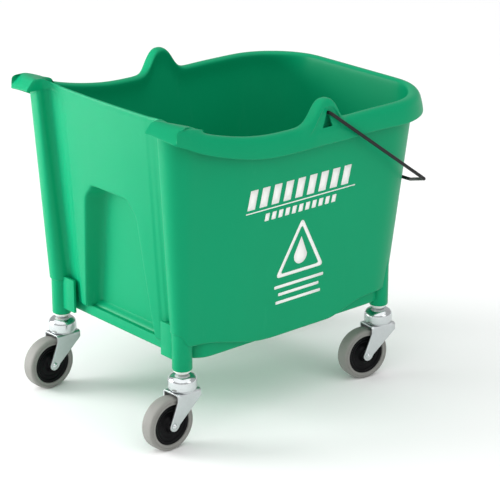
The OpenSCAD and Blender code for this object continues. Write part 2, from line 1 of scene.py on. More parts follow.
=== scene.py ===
"""The looks of a moulded mop bucket with a wire bail and four swivel casters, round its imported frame."""

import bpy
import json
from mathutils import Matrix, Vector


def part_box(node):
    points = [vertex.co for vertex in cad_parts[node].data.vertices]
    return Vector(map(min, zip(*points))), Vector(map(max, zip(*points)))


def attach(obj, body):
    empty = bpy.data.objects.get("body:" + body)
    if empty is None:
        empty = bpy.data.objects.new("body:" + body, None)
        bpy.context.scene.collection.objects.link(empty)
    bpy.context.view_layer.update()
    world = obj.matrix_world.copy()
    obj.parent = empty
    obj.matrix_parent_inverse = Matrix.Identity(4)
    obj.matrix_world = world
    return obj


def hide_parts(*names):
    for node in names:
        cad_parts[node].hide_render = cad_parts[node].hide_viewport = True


bl_info = {
    "name": "Mop bucket on casters",
    "version": (1, 0, 0),
    "blender": (4, 5, 0),
    "location": "View3D > Sidebar > Mop Bucket",
    "description": "Builds the tub, legs, bail, casters and white print of a mop bucket, with its studio",
    "category": "Add Mesh",
}

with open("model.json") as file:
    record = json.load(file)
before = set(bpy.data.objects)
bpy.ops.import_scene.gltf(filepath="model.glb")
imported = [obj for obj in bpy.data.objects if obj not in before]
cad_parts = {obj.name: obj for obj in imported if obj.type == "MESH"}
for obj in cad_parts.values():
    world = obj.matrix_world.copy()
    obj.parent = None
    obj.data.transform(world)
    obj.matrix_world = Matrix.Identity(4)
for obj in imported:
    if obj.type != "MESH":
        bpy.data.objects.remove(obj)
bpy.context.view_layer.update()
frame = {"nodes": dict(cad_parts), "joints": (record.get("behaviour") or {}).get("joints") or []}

import json
import math

import bmesh
import bpy
from bpy.props import FloatProperty, FloatVectorProperty, IntProperty, PointerProperty
from mathutils import Matrix, Vector

MM = 0.001
JOINTS = {j["name"]: j for j in frame["joints"]}
PLACES = ("front_left", "front_right", "rear_left", "rear_right")
REAR_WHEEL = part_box("rear_left_tyre")
BAIL_PIVOT = Vector(JOINTS["bail_swing"]["pos_m"])
FRONT_RIM_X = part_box("bucket")[1].x
REAR_SWIVEL = Vector(JOINTS["rear_left_swivel_turn"]["pos_m"])
HORN_TIP_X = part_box("bucket")[0].x
MIDDLE_X = (FRONT_RIM_X + HORN_TIP_X) / 2


def length(name, default, description):
    """A size property, in metres."""
    return FloatProperty(name=name, description=description, default=default, unit="LENGTH",
                         min=0.0, precision=4)


def colour(name, default, description):
    """A colour property."""
    return FloatVectorProperty(name=name, description=description, default=default, subtype="COLOR",
                               size=3, min=0.0, max=1.0)


class TubSizes(bpy.types.PropertyGroup):
    """Sizes of the moulded tub."""

    length: length("Length", FRONT_RIM_X - HORN_TIP_X, "From the horn tips to the front rim")
    width: length("Width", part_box("bucket")[1].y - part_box("bucket")[0].y, "Over the side rims")
    rim_z: length("Rim height", 0.4275, "Side rims above the floor")
    base_z: length("Base height", 0.120, "Underside of the tub above the floor")
    wall: length("Wall", 0.0036, "Thickness of the moulded wall")
    side_lean: length("Side lean", 0.022, "How far each side wall leans out")
    front_lean: length("Front lean", 0.044, "How far the front wall leans out")
    end_lean: length("End lean", 0.024, "How far the end wall leans out")
    side_rim: length("Side rim", 0.0113, "Width of the rolled rim over the side walls")
    front_rim: length("Front rim", 0.0163, "Width of the rolled rim over the front wall")
    skirt_h: length("Skirt height", 0.030, "Depth of the down-turned skirt")
    skirt_t: length("Skirt thickness", 0.003, "Thickness of the skirt")
    horn_rise: length("Horn rise", 0.0435, "Horns above the side rims")
    end_rise: length("End rise", 0.0355, "End wall above the side rims")
    lug_x: length("Lug place", 0.012, "Lugs ahead of the middle of the bucket")
    lug_h: length("Lug height", 0.0355, "Lug above the side rim")
    lug_l: length("Lug length", 0.092, "Length of a lug along the rim")
    leg_d: length("Leg", 0.028, "Diameter of a leg tube")
    smooth: IntProperty(name="Smoothing", description="Subdivision levels of the tub", default=2,
                        min=0, max=3)


class BailSizes(bpy.types.PropertyGroup):
    """Sizes of the wire bail."""

    wire_d: length("Wire", 0.005, "Diameter of the wire")
    arm: length("Arm", 0.229, "Length of the straight arm")
    reach: length("Reach", 0.265, "Crossbar from the pivot")
    bend: length("Bend", 0.006, "Radius of the wire's bends")
    drop: FloatProperty(name="Drop", description="Angle of the arms below level", unit="ROTATION",
                        default=math.radians(35.6))


class CasterSizes(bpy.types.PropertyGroup):
    """Sizes of the swivel casters."""

    wheel_d: length("Wheel", REAR_WHEEL[1].z - REAR_WHEEL[0].z, "Diameter of the tyre")
    tyre_w: length("Tyre width", REAR_WHEEL[1].y - REAR_WHEEL[0].y, "Width of the tyre")
    tyre_t: length("Tyre thickness", 0.009, "Thickness of the rubber")
    plate_t: length("Plate", 0.0023, "Thickness of the fork's steel")
    fork_gap: length("Fork gap", 0.0276, "Clear width between the cheeks")
    cap_d: length("Cap", 0.041, "Diameter of the swivel cap")
    stem_d: length("Stem", 0.0111, "Diameter of the stem")


class Finishes(bpy.types.PropertyGroup):
    """Colours of the finishes."""

    green: colour("Green plastic", (0.001, 0.300, 0.130), "Moulded tub")
    grey: colour("Grey rubber", (0.27, 0.268, 0.25), "Non-marking tyre")
    black: colour("Black plastic", (0.0025, 0.0025, 0.003), "Hub")
    coated: colour("Coated wire", (0.004, 0.004, 0.0045), "Bail")
    zinc: colour("Zinc plate", (0.62, 0.65, 0.66), "Fork and cap")
    nylon: colour("White nylon", (0.86, 0.86, 0.82), "Socket collar")
    print_white: colour("White print", (0.90, 0.91, 0.88), "Printed sign")


class StudioSettings(bpy.types.PropertyGroup):
    """The camera, lights and floor."""

    floor: colour("Floor", (0.93, 0.93, 0.93), "Plain pale floor")
    lens: FloatProperty(name="Lens", description="Focal length in millimetres", default=146.65)
    distance: length("Distance", 2.58032, "Camera from what it looks at")
    azimuth: FloatProperty(name="Azimuth", description="Camera's turn round the object", unit="ROTATION",
                           default=math.radians(-40.87))
    elevation: FloatProperty(name="Elevation", description="Camera above level", unit="ROTATION",
                             default=math.radians(20.06))


# ---- modelling helpers ----


def deselect():
    """Nothing is selected and no object is being edited."""
    if bpy.context.object and bpy.context.object.mode != "OBJECT":
        bpy.ops.object.mode_set(mode="OBJECT")
    bpy.ops.object.select_all(action="DESELECT")


def only(piece):
    """One object is selected and active."""
    deselect()
    piece.select_set(True)
    bpy.context.view_layer.objects.active = piece


def put_ring(piece, number, points):
    """The selected ring of a piece goes to these points, in the order of its stations."""
    mesh = bmesh.from_edit_mesh(piece.data)
    station = mesh.verts.layers.int["station"]
    ring = mesh.verts.layers.int["ring"]
    for v in mesh.verts:
        if v.select:
            v.co = points[v[station]]
            v[ring] = number
    bmesh.update_edit_mesh(piece.data)


def select_ring(piece, number):
    """Selects one ring of a piece."""
    bpy.ops.mesh.select_all(action="DESELECT")
    mesh = bmesh.from_edit_mesh(piece.data)
    ring = mesh.verts.layers.int["ring"]
    for v in mesh.verts:
        v.select = v[ring] == number
    mesh.select_flush(True)
    bmesh.update_edit_mesh(piece.data)


def close_ring(piece, number):
    """Closes the hole inside one end ring with faces that meet in its middle."""
    select_ring(piece, number)
    bpy.ops.mesh.extrude_region_move()
    bpy.ops.mesh.merge(type="CENTER")


def ring_piece(name, rings, loop=False, creases=None, ridges=None):
    """A circle of points extruded from ring to ring, closed at its ends or, as a loop, on itself."""
    deselect()
    bpy.ops.mesh.primitive_circle_add(vertices=len(rings[0]), radius=MM, location=(0, 0, 0))
    piece = bpy.context.object
    piece.name = name
    piece.data.name = name
    bpy.ops.object.mode_set(mode="EDIT")
    mesh = bmesh.from_edit_mesh(piece.data)
    mesh.verts.layers.int.new("ring")
    station = mesh.verts.layers.int.new("station")
    for i, v in enumerate(mesh.verts):
        v[station] = i
    bpy.ops.mesh.select_all(action="SELECT")
    put_ring(piece, 1, rings[0])
    for number, points in enumerate(rings[1:], start=2):
        bpy.ops.mesh.extrude_region_move()
        put_ring(piece, number, points)
    if loop:
        bpy.ops.mesh.extrude_region_move()
        put_ring(piece, 1, rings[0])
        bpy.ops.mesh.select_all(action="SELECT")
        bpy.ops.mesh.remove_doubles(threshold=0.001 * MM)
    else:
        close_ring(piece, 1)
        close_ring(piece, len(rings))
    crease_rings(piece, creases or {}, ridges or {})
    bpy.ops.mesh.select_all(action="SELECT")
    bpy.ops.mesh.normals_make_consistent(inside=False)
    bpy.ops.object.mode_set(mode="OBJECT")
    for layer in ("ring", "station"):
        piece.data.attributes.remove(piece.data.attributes[layer])
    bpy.ops.object.shade_smooth()
    return piece


def crease_rings(piece, creases, ridges):
    """Gives the numbered rings, and the numbered stations above a ring, a subdivision crease."""
    mesh = bmesh.from_edit_mesh(piece.data)
    ring = mesh.verts.layers.int["ring"]
    station = mesh.verts.layers.int["station"]
    crease = mesh.edges.layers.float.get("crease_edge") or mesh.edges.layers.float.new("crease_edge")
    for e in mesh.edges:
        a, b = e.verts[0][ring], e.verts[1][ring]
        if a == b and a in creases:
            e[crease] = creases[a]
        i, j = e.verts[0][station], e.verts[1][station]
        if i == j and i in ridges and min(a, b) >= ridges[i][0] and max(a, b) <= ridges[i][1]:
            e[crease] = ridges[i][2]
    bmesh.update_edit_mesh(piece.data)


def finish_with(piece, kind, **settings):
    """Adds a modifier to a piece with these settings, and applies it."""
    only(piece)
    bpy.ops.object.modifier_add(type=kind)
    modifier = piece.modifiers[-1]
    for key, value in settings.items():
        setattr(modifier, key, value)
    bpy.ops.object.modifier_apply(modifier=modifier.name)
    return piece


def smoothed(piece, levels):
    """Subdivides a piece."""
    return finish_with(piece, "SUBSURF", levels=levels, render_levels=levels)


def smooth_shaded(piece, degrees=35):
    """Shades a piece smooth, with edges sharper than the angle kept crisp."""
    only(piece)
    bpy.ops.object.shade_smooth_by_angle(angle=math.radians(degrees))
    return piece


def turned(name, profile, axis="Z", centre=(0, 0, 0), steps=64, loop=False):
    """A turned piece: its profile is radius and place along the axis, in millimetres."""
    def point(r, h, i):
        a = 2 * math.pi * i / steps
        across, up = r * math.cos(a), r * math.sin(a)
        local = Vector((across, up, h)) if axis == "Z" else Vector((across, h, up))
        return local * MM + Vector(centre)
    rings = [[point(r, h, i) for i in range(steps)] for r, h in profile]
    return ring_piece(name, rings, loop=loop)


def rounded(points, radius, steps=5, closed=False):
    """A plane outline with round corners of up to this radius; a point's third value sets its own."""
    out = []
    count = len(points)
    for i, p in enumerate(points):
        here = Vector(p[:2])
        if not closed and i in (0, count - 1):
            out.append(tuple(here))
            continue
        back = Vector(points[i - 1][:2]) - here
        ahead = Vector(points[(i + 1) % count][:2]) - here
        r = p[2] if len(p) > 2 else radius
        turn = back.angle(ahead)
        if r <= 0 or turn > math.radians(178):
            out.append(tuple(here))
            continue
        cut = min(r / math.tan(turn / 2), 0.49 * back.length, 0.49 * ahead.length)
        a, b = here + back.normalized() * cut, here + ahead.normalized() * cut
        for k in range(steps + 1):
            t = k / steps
            out.append(tuple(a * (1 - t) ** 2 + here * 2 * t * (1 - t) + b * t * t))
    return out


def joined(name, pieces):
    """Several meshes as one piece."""
    deselect()
    for p in pieces:
        p.select_set(True)
    bpy.context.view_layer.objects.active = pieces[0]
    bpy.ops.object.join()
    piece = bpy.context.object
    piece.name = name
    piece.data.name = name
    return piece


def copied(piece, name, matrix):
    """A copy with its own mesh, put in place by a matrix."""
    only(piece)
    bpy.ops.object.duplicate()
    copy = bpy.context.object
    copy.name = name
    copy.data.name = name
    copy.data.transform(matrix)
    return copy


def dropped(piece):
    """Removes a pattern piece that has been copied."""
    bpy.data.objects.remove(piece)


def dress(piece, material, body, slot, *nodes):
    """Gives a piece its finish and body, and the nodes that it stands for."""
    piece.data.materials.clear()
    piece.data.materials.append(material)
    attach(piece, body)
    if nodes:
        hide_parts(*nodes)
    return piece


# ---- shader maths ----


class Value:
    """A shader socket that takes part in sums: each operator adds its Math node."""

    def __init__(self, graph, socket):
        self.graph = graph
        self.socket = socket

    def math(self, operation, *others):
        return self.graph.node("ShaderNodeMath", {"operation": operation}, [self, *others])

    def __add__(self, other):
        return self.math("ADD", other)

    def __sub__(self, other):
        return self.math("SUBTRACT", other)

    def __mul__(self, other):
        return self.math("MULTIPLY", other)

    def __rsub__(self, other):
        return self.graph.node("ShaderNodeMath", {"operation": "SUBTRACT"}, [other, self])

    __radd__ = __add__
    __rmul__ = __mul__

    def above(self, edge, soft):
        """0 below edge and 1 above edge + soft."""
        return self.graph.node(
            "ShaderNodeMapRange", {"interpolation_type": "SMOOTHSTEP", "clamp": True},
            {"Value": self, "From Min": edge, "From Max": edge + soft})


class Graph:
    """The nodes of one material."""

    def __init__(self, name):
        self.material = bpy.data.materials.new(name)
        self.material.use_nodes = True
        self.tree = self.material.node_tree
        self.tree.nodes.clear()
        self.output = self.tree.nodes.new("ShaderNodeOutputMaterial")
        self.place = self.node("ShaderNodeTexCoord", out="Object")

    def node(self, kind, settings=None, inputs=None, out=0):
        """Adds a node with its settings, then the values or links of its sockets; gives one output."""
        node = self.tree.nodes.new(kind)
        for key, value in (settings or {}).items():
            setattr(node, key, value)
        pairs = inputs.items() if isinstance(inputs, dict) else enumerate(inputs or [])
        for key, value in pairs:
            if isinstance(value, Value):
                self.tree.links.new(value.socket, node.inputs[key])
            else:
                node.inputs[key].default_value = value
        return Value(self, node.outputs[out])

    def noise(self, scale, detail=2, roughness=0.5, stretch=None):
        """Noise on the piece's own coordinates, in cycles per metre."""
        vector = self.place
        if stretch:
            vector = self.node("ShaderNodeMapping", {}, {"Vector": self.place, "Scale": stretch})
        return self.node("ShaderNodeTexNoise", {}, {"Vector": vector, "Scale": scale, "Detail": detail,
                                                    "Roughness": roughness})

    def blend(self, factor, a, b):
        """Colour b over colour a by a factor."""
        mix = self.tree.nodes.new("ShaderNodeMix")
        mix.data_type = "RGBA"
        for socket, value in (("Factor_Float", factor), ("A_Color", a), ("B_Color", b)):
            target = next(s for s in mix.inputs if s.identifier == socket)
            if isinstance(value, Value):
                self.tree.links.new(value.socket, target)
            else:
                target.default_value = value if socket == "Factor_Float" else (*value, 1)
        return Value(self, next(s for s in mix.outputs if s.identifier == "Result_Color"))

    def bump(self, height, strength, distance):
        """A normal roughened by a height, in metres."""
        return self.node("ShaderNodeBump", {}, {"Strength": strength, "Distance": distance, "Height": height},
                         out="Normal")

    def finish(self, **inputs):
        """Ends the material in one Principled shader with these sockets."""
        named = {key.replace("_", " "): value for key, value in inputs.items()}
        shader = self.node("ShaderNodeBsdfPrincipled", {}, named, out="BSDF")
        self.tree.links.new(shader.socket, self.output.inputs["Surface"])
        return self.material


def shade_of(c, factor):
    """A colour scaled by a factor."""
    return tuple(min(1.0, v * factor) for v in c)


def green_plastic(c):
    g = Graph("green_plastic")
    flow = g.noise(7, detail=3, stretch=(1, 1, 0.45))
    speckle = g.noise(420, detail=2)
    scuff = g.noise(46, detail=5, roughness=0.7, stretch=(1.0, 1.0, 0.25)).above(0.60, 0.12)
    base = g.blend(flow, shade_of(c, 0.93), shade_of(c, 1.06))
    base = g.blend(speckle * 0.10, base, (0.004, 0.40, 0.20))
    base = g.blend(scuff * 0.06, base, (0.06, 0.46, 0.27))
    rough = 0.34 + flow * 0.05 + speckle * 0.05 + scuff * 0.10
    grain = g.noise(1500, detail=2) * 0.6 + g.noise(260, detail=2) * 0.4
    return g.finish(Base_Color=base, Roughness=rough, IOR=1.49, Specular_IOR_Level=0.11,
                    Normal=g.bump(grain, 0.22, 0.00012))


def black_wire(c):
    g = Graph("black_wire")
    coat = g.noise(90, detail=3)
    nick = g.noise(210, detail=4, roughness=0.7).above(0.66, 0.05)
    base = g.blend(nick * 0.5, g.blend(coat, shade_of(c, 0.8), shade_of(c, 1.5)), (0.06, 0.055, 0.05))
    return g.finish(Base_Color=base, Roughness=0.34 + coat * 0.12, Specular_IOR_Level=0.3,
                    Normal=g.bump(coat, 0.3, 0.0002))


def zinc_plate(c, name="zinc_plate", rough=0.22):
    g = Graph(name)
    cloud = g.noise(60, detail=3)
    brush = g.noise(900, detail=2, stretch=(0.12, 1, 1))
    spangle = g.node("ShaderNodeTexVoronoi", {}, {"Vector": g.place, "Scale": 240}, out="Distance")
    base = g.blend(cloud, shade_of(c, 0.86), shade_of(c, 1.06))
    base = g.blend(spangle * 0.25, base, shade_of(c, 0.78))
    rough_all = rough + cloud * 0.10 + brush * 0.08
    return g.finish(Base_Color=base, Metallic=1.0, Roughness=rough_all,
                    Normal=g.bump(brush * 0.7 + cloud * 0.3, 0.12, 0.00008))


def white_nylon(c):
    g = Graph("white_nylon")
    cloud = g.noise(80, detail=3)
    base = g.blend(cloud, shade_of(c, 0.94), c)
    return g.finish(Base_Color=base, Roughness=0.38 + cloud * 0.1, Subsurface_Weight=0.1,
                    Normal=g.bump(g.noise(900), 0.15, 0.0001))


def black_plastic(c):
    g = Graph("black_plastic")
    cloud = g.noise(120, detail=3)
    dust = g.noise(35, detail=4, roughness=0.65).above(0.52, 0.25)
    base = g.blend(dust * 0.03, g.blend(cloud, c, shade_of(c, 1.8)), (0.06, 0.058, 0.05))
    return g.finish(Base_Color=base, Roughness=0.36 + dust * 0.2, Specular_IOR_Level=0.1,
                    Normal=g.bump(g.noise(1200), 0.2, 0.0001))


def grey_rubber(c):
    g = Graph("grey_rubber")
    cloud = g.noise(40, detail=4, roughness=0.6)
    grit = g.noise(700, detail=3, roughness=0.7)
    dirt = g.noise(90, detail=5, roughness=0.7).above(0.58, 0.15)
    base = g.blend(cloud, shade_of(c, 0.88), shade_of(c, 1.10))
    base = g.blend(grit * 0.36, base, shade_of(c, 0.55))
    base = g.blend(dirt * 0.25, base, (0.16, 0.155, 0.14))
    return g.finish(Base_Color=base, Roughness=0.62 + cloud * 0.12 + grit * 0.08,
                    Normal=g.bump(grit * 0.7 + cloud * 0.3, 0.3, 0.0003))


def white_ink(c):
    g = Graph("white_ink")
    thin = g.noise(300, detail=4, roughness=0.7).above(0.62, 0.12)
    base = g.blend(thin * 0.25, c, (0.55, 0.75, 0.65))
    return g.finish(Base_Color=base, Roughness=0.45 + thin * 0.15, Normal=g.bump(g.noise(1400), 0.15, 0.0001))


def floor_paper(c):
    g = Graph("floor_paper")
    cloud = g.noise(3, detail=2)
    return g.finish(Base_Color=g.blend(cloud, shade_of(c, 0.995), c), Roughness=0.9)


MATERIALS = {}


def material(name):
    """A named finish, made on first use."""
    if name not in MATERIALS:
        look = bpy.context.scene.bucket_finishes
        makers = {
            "green": lambda: green_plastic(look.green),
            "wire": lambda: black_wire(look.coated),
            "zinc": lambda: zinc_plate(look.zinc),
            "bright": lambda: zinc_plate(shade_of(look.zinc, 1.08), "bright_zinc", rough=0.10),
            "steel": lambda: zinc_plate(shade_of(look.zinc, 0.75), "ground_steel", rough=0.28),
            "nylon": lambda: white_nylon(look.nylon),
            "black": lambda: black_plastic(look.black),
            "rubber": lambda: grey_rubber(look.grey),
            "ink": lambda: white_ink(look.print_white),
        }
        MATERIALS[name] = makers[name]()
    return MATERIALS[name]


# ---- the tub's shape, in millimetres, with X from the middle of its length ----


def mix(a, b, t):
    """From a to b by a share t."""
    return a + (b - a) * t


def tub_point(x, y, z):
    """A point of the tub's own millimetres, in the frame's metres."""
    return Vector((x * MM + MIDDLE_X, y * MM, z * MM))


def ramp(t):
    """A smooth rise from 0 to 1."""
    u = min(1.0, max(0.0, t))
    return u * u * (3 - 2 * u)


LEG_DROP = 9.4  # leg tube below the tub's base
LEG_RISE = 72.0  # leg tube above the tub's base
SOCKET_DEPTH = 46.0  # stem socket up the leg tube
COLLAR_H = 6.6  # collar below the leg tube
WHEEL_ROOM = 3.4  # tyre to the fork's plate
TRAIL = 27.0  # axle behind the swivel axis

STEPS_FRONT = 3
STEPS_CORNER = 10
STEPS_AHEAD = 3
STEPS_LUG = 12
STEPS_BEHIND = 7
STEPS_PILLAR = 7
STEPS_NOSE = 5
FLANK = ((0.16, 0.42), (0.52, 0.47), (0.68, 0.90), (1.0, 1.0))


class TubShape:
    """Where the tub's walls and rim stand, at every station round it and every height."""

    def __init__(self, s):
        """Works the plan's measures out from the tub's sizes."""
        self.half_l, self.half_w = s.length / MM / 2, s.width / MM / 2
        self.rim_z, self.base_z, self.wall = s.rim_z / MM, s.base_z / MM, s.wall / MM
        self.lean_side, self.lean_front, self.lean_end = s.side_lean / MM, s.front_lean / MM, s.end_lean / MM
        self.side_rim, self.front_rim = s.side_rim / MM, s.front_rim / MM
        self.skirt_h, self.skirt_t = s.skirt_h / MM, s.skirt_t / MM
        self.horn_rise, self.end_rise = s.horn_rise / MM, s.end_rise / MM
        self.lug_x, self.lug_h, self.lug_l = s.lug_x / MM, s.lug_h / MM, s.lug_l / MM
        self.leg_r = s.leg_d / MM / 2
        self.leg_x, self.leg_y = (REAR_SWIVEL.x - MIDDLE_X) / MM, REAR_SWIVEL.y / MM
        self.rim_r = 107
        self.r_top = self.rim_r - (self.side_rim + self.front_rim) / 2
        self.r_base = self.r_top - 25
        self.horn_x = -self.half_l
        self.end_top_x = self.horn_x + 37
        self.nose_top_x = self.end_top_x - 17
        self.channel_y = self.half_w - 84.5
        self.bulge_y = self.channel_y - 21
        self.horn_y = self.half_w - 5
        self.horn_in_y = self.half_w - 59.5
        self.step_z = self.base_z + 45
        self.straight_z = self.base_z + 80
        self.pocket_z = self.base_z + 211
        self.pocket_base_y = self.bulge_y - 7
        self.pocket_top_y = self.pocket_base_y - 24
        self.band_in, self.band_rear_r = 7.5, 36
        self.side_rear = 68.35
        self.inner_r = 34
        self.stations = self.half_stations()

    def half_stations(self):
        reach = self.lug_l / 2
        front, rear = self.half_l - 140, self.side_rear - self.half_l
        side = [mix(front, self.lug_x + reach, i / STEPS_AHEAD) for i in range(STEPS_AHEAD)]
        side += [self.lug_x + reach * (1 - 2 * i / STEPS_LUG) for i in range(STEPS_LUG + 1)]
        side += [mix(self.lug_x - reach, rear, i / STEPS_BEHIND) for i in range(1, STEPS_BEHIND + 1)]
        return (
            [("front", i / STEPS_FRONT) for i in range(STEPS_FRONT)]
            + [("corner", i / STEPS_CORNER) for i in range(STEPS_CORNER + 1)]
            + [("side", x) for x in side]
            + [("pillar", i / STEPS_PILLAR) for i in range(STEPS_PILLAR + 1)]
            + [("nose", i / STEPS_NOSE) for i in range(1, STEPS_NOSE + 1)]
            + [("notch", i / 3) for i in range(1, 4)]
            + [("channel", 1)]
            + [("flank", i) for i in range(len(FLANK))]
            + [("face", 0.5)]
            + [("edge", i) for i in range(4)]
            + [("panel", 0.6), ("panel", 0)]
        )

    def lean(self, z, top, total):
        """A plan distance at height z on a wall that leans out by a total, and is at top by the rim."""
        return top - total * (self.rim_z - z) / (self.rim_z - self.base_z)

    def side_y(self, z):
        return self.lean(z, self.half_w - self.side_rim, self.lean_side)

    def front_x(self, z):
        return self.lean(z, self.half_l - self.front_rim, self.lean_front)

    def corner_r(self, z):
        return self.lean(z, self.r_top, self.r_top - self.r_base)

    def end_x(self, z):
        return -self.lean(z, -self.end_top_x, self.lean_end)

    def up_pillar(self, z):
        """Share of the way up a corner pillar."""
        return (z - self.step_z) / (self.rim_z - self.step_z)

    def pillar(self, z):
        """Rounding and centre of the corner pillar, and of its inner nose."""
        u = self.up_pillar(z)
        r = mix(self.leg_r + 2.2, 30, u)
        y = mix(self.leg_y, self.half_w - self.side_rim - 38, u)
        nose_x = mix(self.leg_x - self.leg_r - 2.2, self.nose_top_x, u)
        nose_r = mix(self.leg_r + 2.2, 8, u)
        inner = min(y - nose_r, mix(self.leg_y - self.leg_r - 2.2, self.horn_in_y - 1, u))
        return r, y, nose_x, nose_r, inner

    def rearward(self, x, start, run):
        """Rises from 0, at start ahead of the horn tips, to 1, a run further back."""
        return ramp((-x - self.half_l + start) / run)

    def bulge_at(self, z):
        """How far the end wall bulges in its middle, less and less on the way up."""
        return mix(13.5, 3, (z - self.base_z) / (self.rim_z + self.end_rise - self.base_z))

    def face_x(self, y, z):
        """The bulging end wall's face."""
        return self.end_x(z) - self.bulge_at(z) * (1 - 0.55 * (y / self.bulge_y) ** 2)

    def pocket_y(self, z):
        """The end pocket's side, which closes in under its round top."""
        share = (z - self.base_z - 20) / (self.pocket_z - self.base_z - 20)
        return mix(self.pocket_base_y, self.pocket_top_y, share) - 14 * ramp((z - self.pocket_z + 20) / 20)

    def wall_xy(self, station, z, w):
        """A point of the wall's plan at height z, moved in by w."""
        kind, t = station
        fx, sy, r = self.front_x(z), self.side_y(z), self.corner_r(z)
        if kind == "front":
            return fx - w, t * (sy - r)
        if kind == "corner":
            a = math.radians(90 * t)
            return fx - r + (r - w) * math.cos(a), sy - r + (r - w) * math.sin(a)
        pr, py, nx, nr, inner = self.pillar(z)
        if kind == "side":
            return t, sy - w - (sy - py - pr) * self.rearward(t, 145, 90)
        if kind == "pillar":
            a = math.radians(90 * t)
            return nx + pr - (pr - w) * math.sin(a), py + (pr - w) * math.cos(a)
        if kind == "nose":
            a = math.radians(90 * t)
            return nx + nr - (nr - w) * math.cos(a), inner + nr - (nr - w) * math.sin(a)
        if kind == "notch":
            return mix(nx + nr, self.end_x(z) + w, ramp(t * 1.2)), inner + w - 8 * t * t
        if kind == "channel":
            return self.end_x(z) + w, self.channel_y
        if kind == "flank":
            across, rise = FLANK[t]
            return (mix(self.end_x(z), self.face_x(self.bulge_y, z), rise) + w,
                    mix(self.channel_y, self.bulge_y, across))
        edge_y = self.pocket_y(z) + w
        if kind == "face":
            y = mix(self.bulge_y, edge_y, 0.4)
            return self.face_x(y, z) + w, y
        on = 1 if z - 1.6 * w < self.pocket_z + 0.1 else 0
        draft = mix(6, 14, (z - self.base_z) / (self.pocket_z - self.base_z))
        panel = self.face_x(0, z) + w + 28
        if kind == "edge":
            y = edge_y + (2.5, 0, -0.8 * draft, -draft - 3)[t]
            return mix(self.face_x(y, z) + w, panel, (0, 0.05, 0.9, 1)[t] * on), y
        y = (edge_y - draft - 3) * t
        return mix(self.face_x(y, z) + w, panel, on), y

    def inner_xy(self, station, z):
        """The inside of the tub, with round corners of its own."""
        kind, t = station
        w, r = self.wall, self.inner_r
        pr, py, _, _, _ = self.pillar(z)
        end = self.end_x(z) + w
        cx, cy = end + r, py + pr - w - r
        if kind in ("pillar", "nose"):
            a = math.radians(45 * t + (45 if kind == "nose" else 0))
            return cx - r * math.sin(a), cy + r * math.cos(a)
        start = min(cy, self.channel_y)
        if kind == "notch":
            return end, mix(cy, start - 0.2, t * 0.9)
        if kind == "channel":
            return end, start - 0.4
        if kind == "flank":
            across, _ = FLANK[t]
            return (mix(self.end_x(z), self.face_x(self.bulge_y, z), ramp(across)) + w,
                    mix(start - 0.4, self.bulge_y + w, across))
        return self.wall_xy(station, z, w)

    def band_xy(self, station, w):
        """The set-in base band, moved in by w."""
        kind, t = station
        fx, sy = self.front_x(self.base_z) - self.band_in, self.side_y(self.base_z) - self.band_in
        ex, r, rear_r = self.end_x(self.base_z), self.r_base - self.band_in, self.band_rear_r
        a = math.radians(90 * t) if kind in ("corner", "pillar") else 0
        if kind == "front":
            return fx - w, t * (sy - r)
        if kind == "corner":
            return fx - r + (r - w) * math.cos(a), sy - r + (r - w) * math.sin(a)
        if kind == "side":
            return max(t, ex + rear_r + 2 + 0.02 * (t + self.half_l - self.side_rear)), sy - w
        if kind == "pillar":
            return ex + rear_r - (rear_r - w) * math.sin(a), sy - rear_r + (rear_r - w) * math.cos(a)
        y = {"nose": lambda: sy - rear_r - 2 * t, "notch": lambda: sy - rear_r - 2 - t,
             "channel": lambda: self.channel_y - 2,
             "flank": lambda: mix(self.channel_y - 2, self.bulge_y, FLANK[t][0]),
             "face": lambda: mix(self.bulge_y, self.pocket_base_y, 0.4),
             "edge": lambda: self.pocket_base_y + (2.2, 0, -3, -7)[t],
             "panel": lambda: (self.pocket_base_y - 7) * t}[kind]()
        return ex + w, y

    def rim_xy(self, station):
        """The outermost plan of the rim, with the square-ended horns."""
        kind, t = station
        r, tip = self.rim_r, self.horn_x
        if kind == "front":
            return self.half_l, t * (self.half_w - r)
        if kind == "corner":
            a = math.radians(90 * t)
            return self.half_l - r + r * math.cos(a), self.half_w - r + r * math.sin(a)
        if kind == "side":
            return t, self.half_w - 2 * self.rearward(t, 130, 90)
        if kind == "pillar" and t < 0.5:
            return mix(tip + 49.35, tip + 11, t / 0.43), mix(self.half_w - 2, self.horn_y, t / 0.43)
        if kind == "pillar":
            u = (t - 0.57) / 0.43
            return mix(tip + 9, tip + 3, u), mix(self.horn_y - 2, self.horn_in_y + 17, u)
        if kind == "nose":
            i = round(t * STEPS_NOSE) - 1
            return tip + (2, 0.4, 0, 4, 14)[i], self.horn_in_y + (9, 4, 1.5, 0, 0)[i]
        wall = self.wall_xy(station, self.rim_z + self.end_rise, -0.3)
        if kind == "notch":
            return mix(tip + 24, wall[0], t), mix(self.horn_in_y, wall[1], t)
        return wall

    def side_top(self, x):
        """The side rim's top, which sweeps up to the horn."""
        rise = max(0.0, (-x - 66) / (self.half_l - 76)) ** 1.75
        return self.rim_z + self.horn_rise * rise + 1.3 * ramp((x - 40) / 60)

    def lug_at(self, x):
        """A bell-shaped lug, round at its top and hollowed at its feet."""
        def bell(off):
            return 1 / (1 + (off / 0.455) ** 4)
        off = abs(x - self.lug_x) / (self.lug_l / 2)
        return self.lug_h * (bell(off) - bell(1)) / (1 - bell(1)) if off < 1 else 0.0

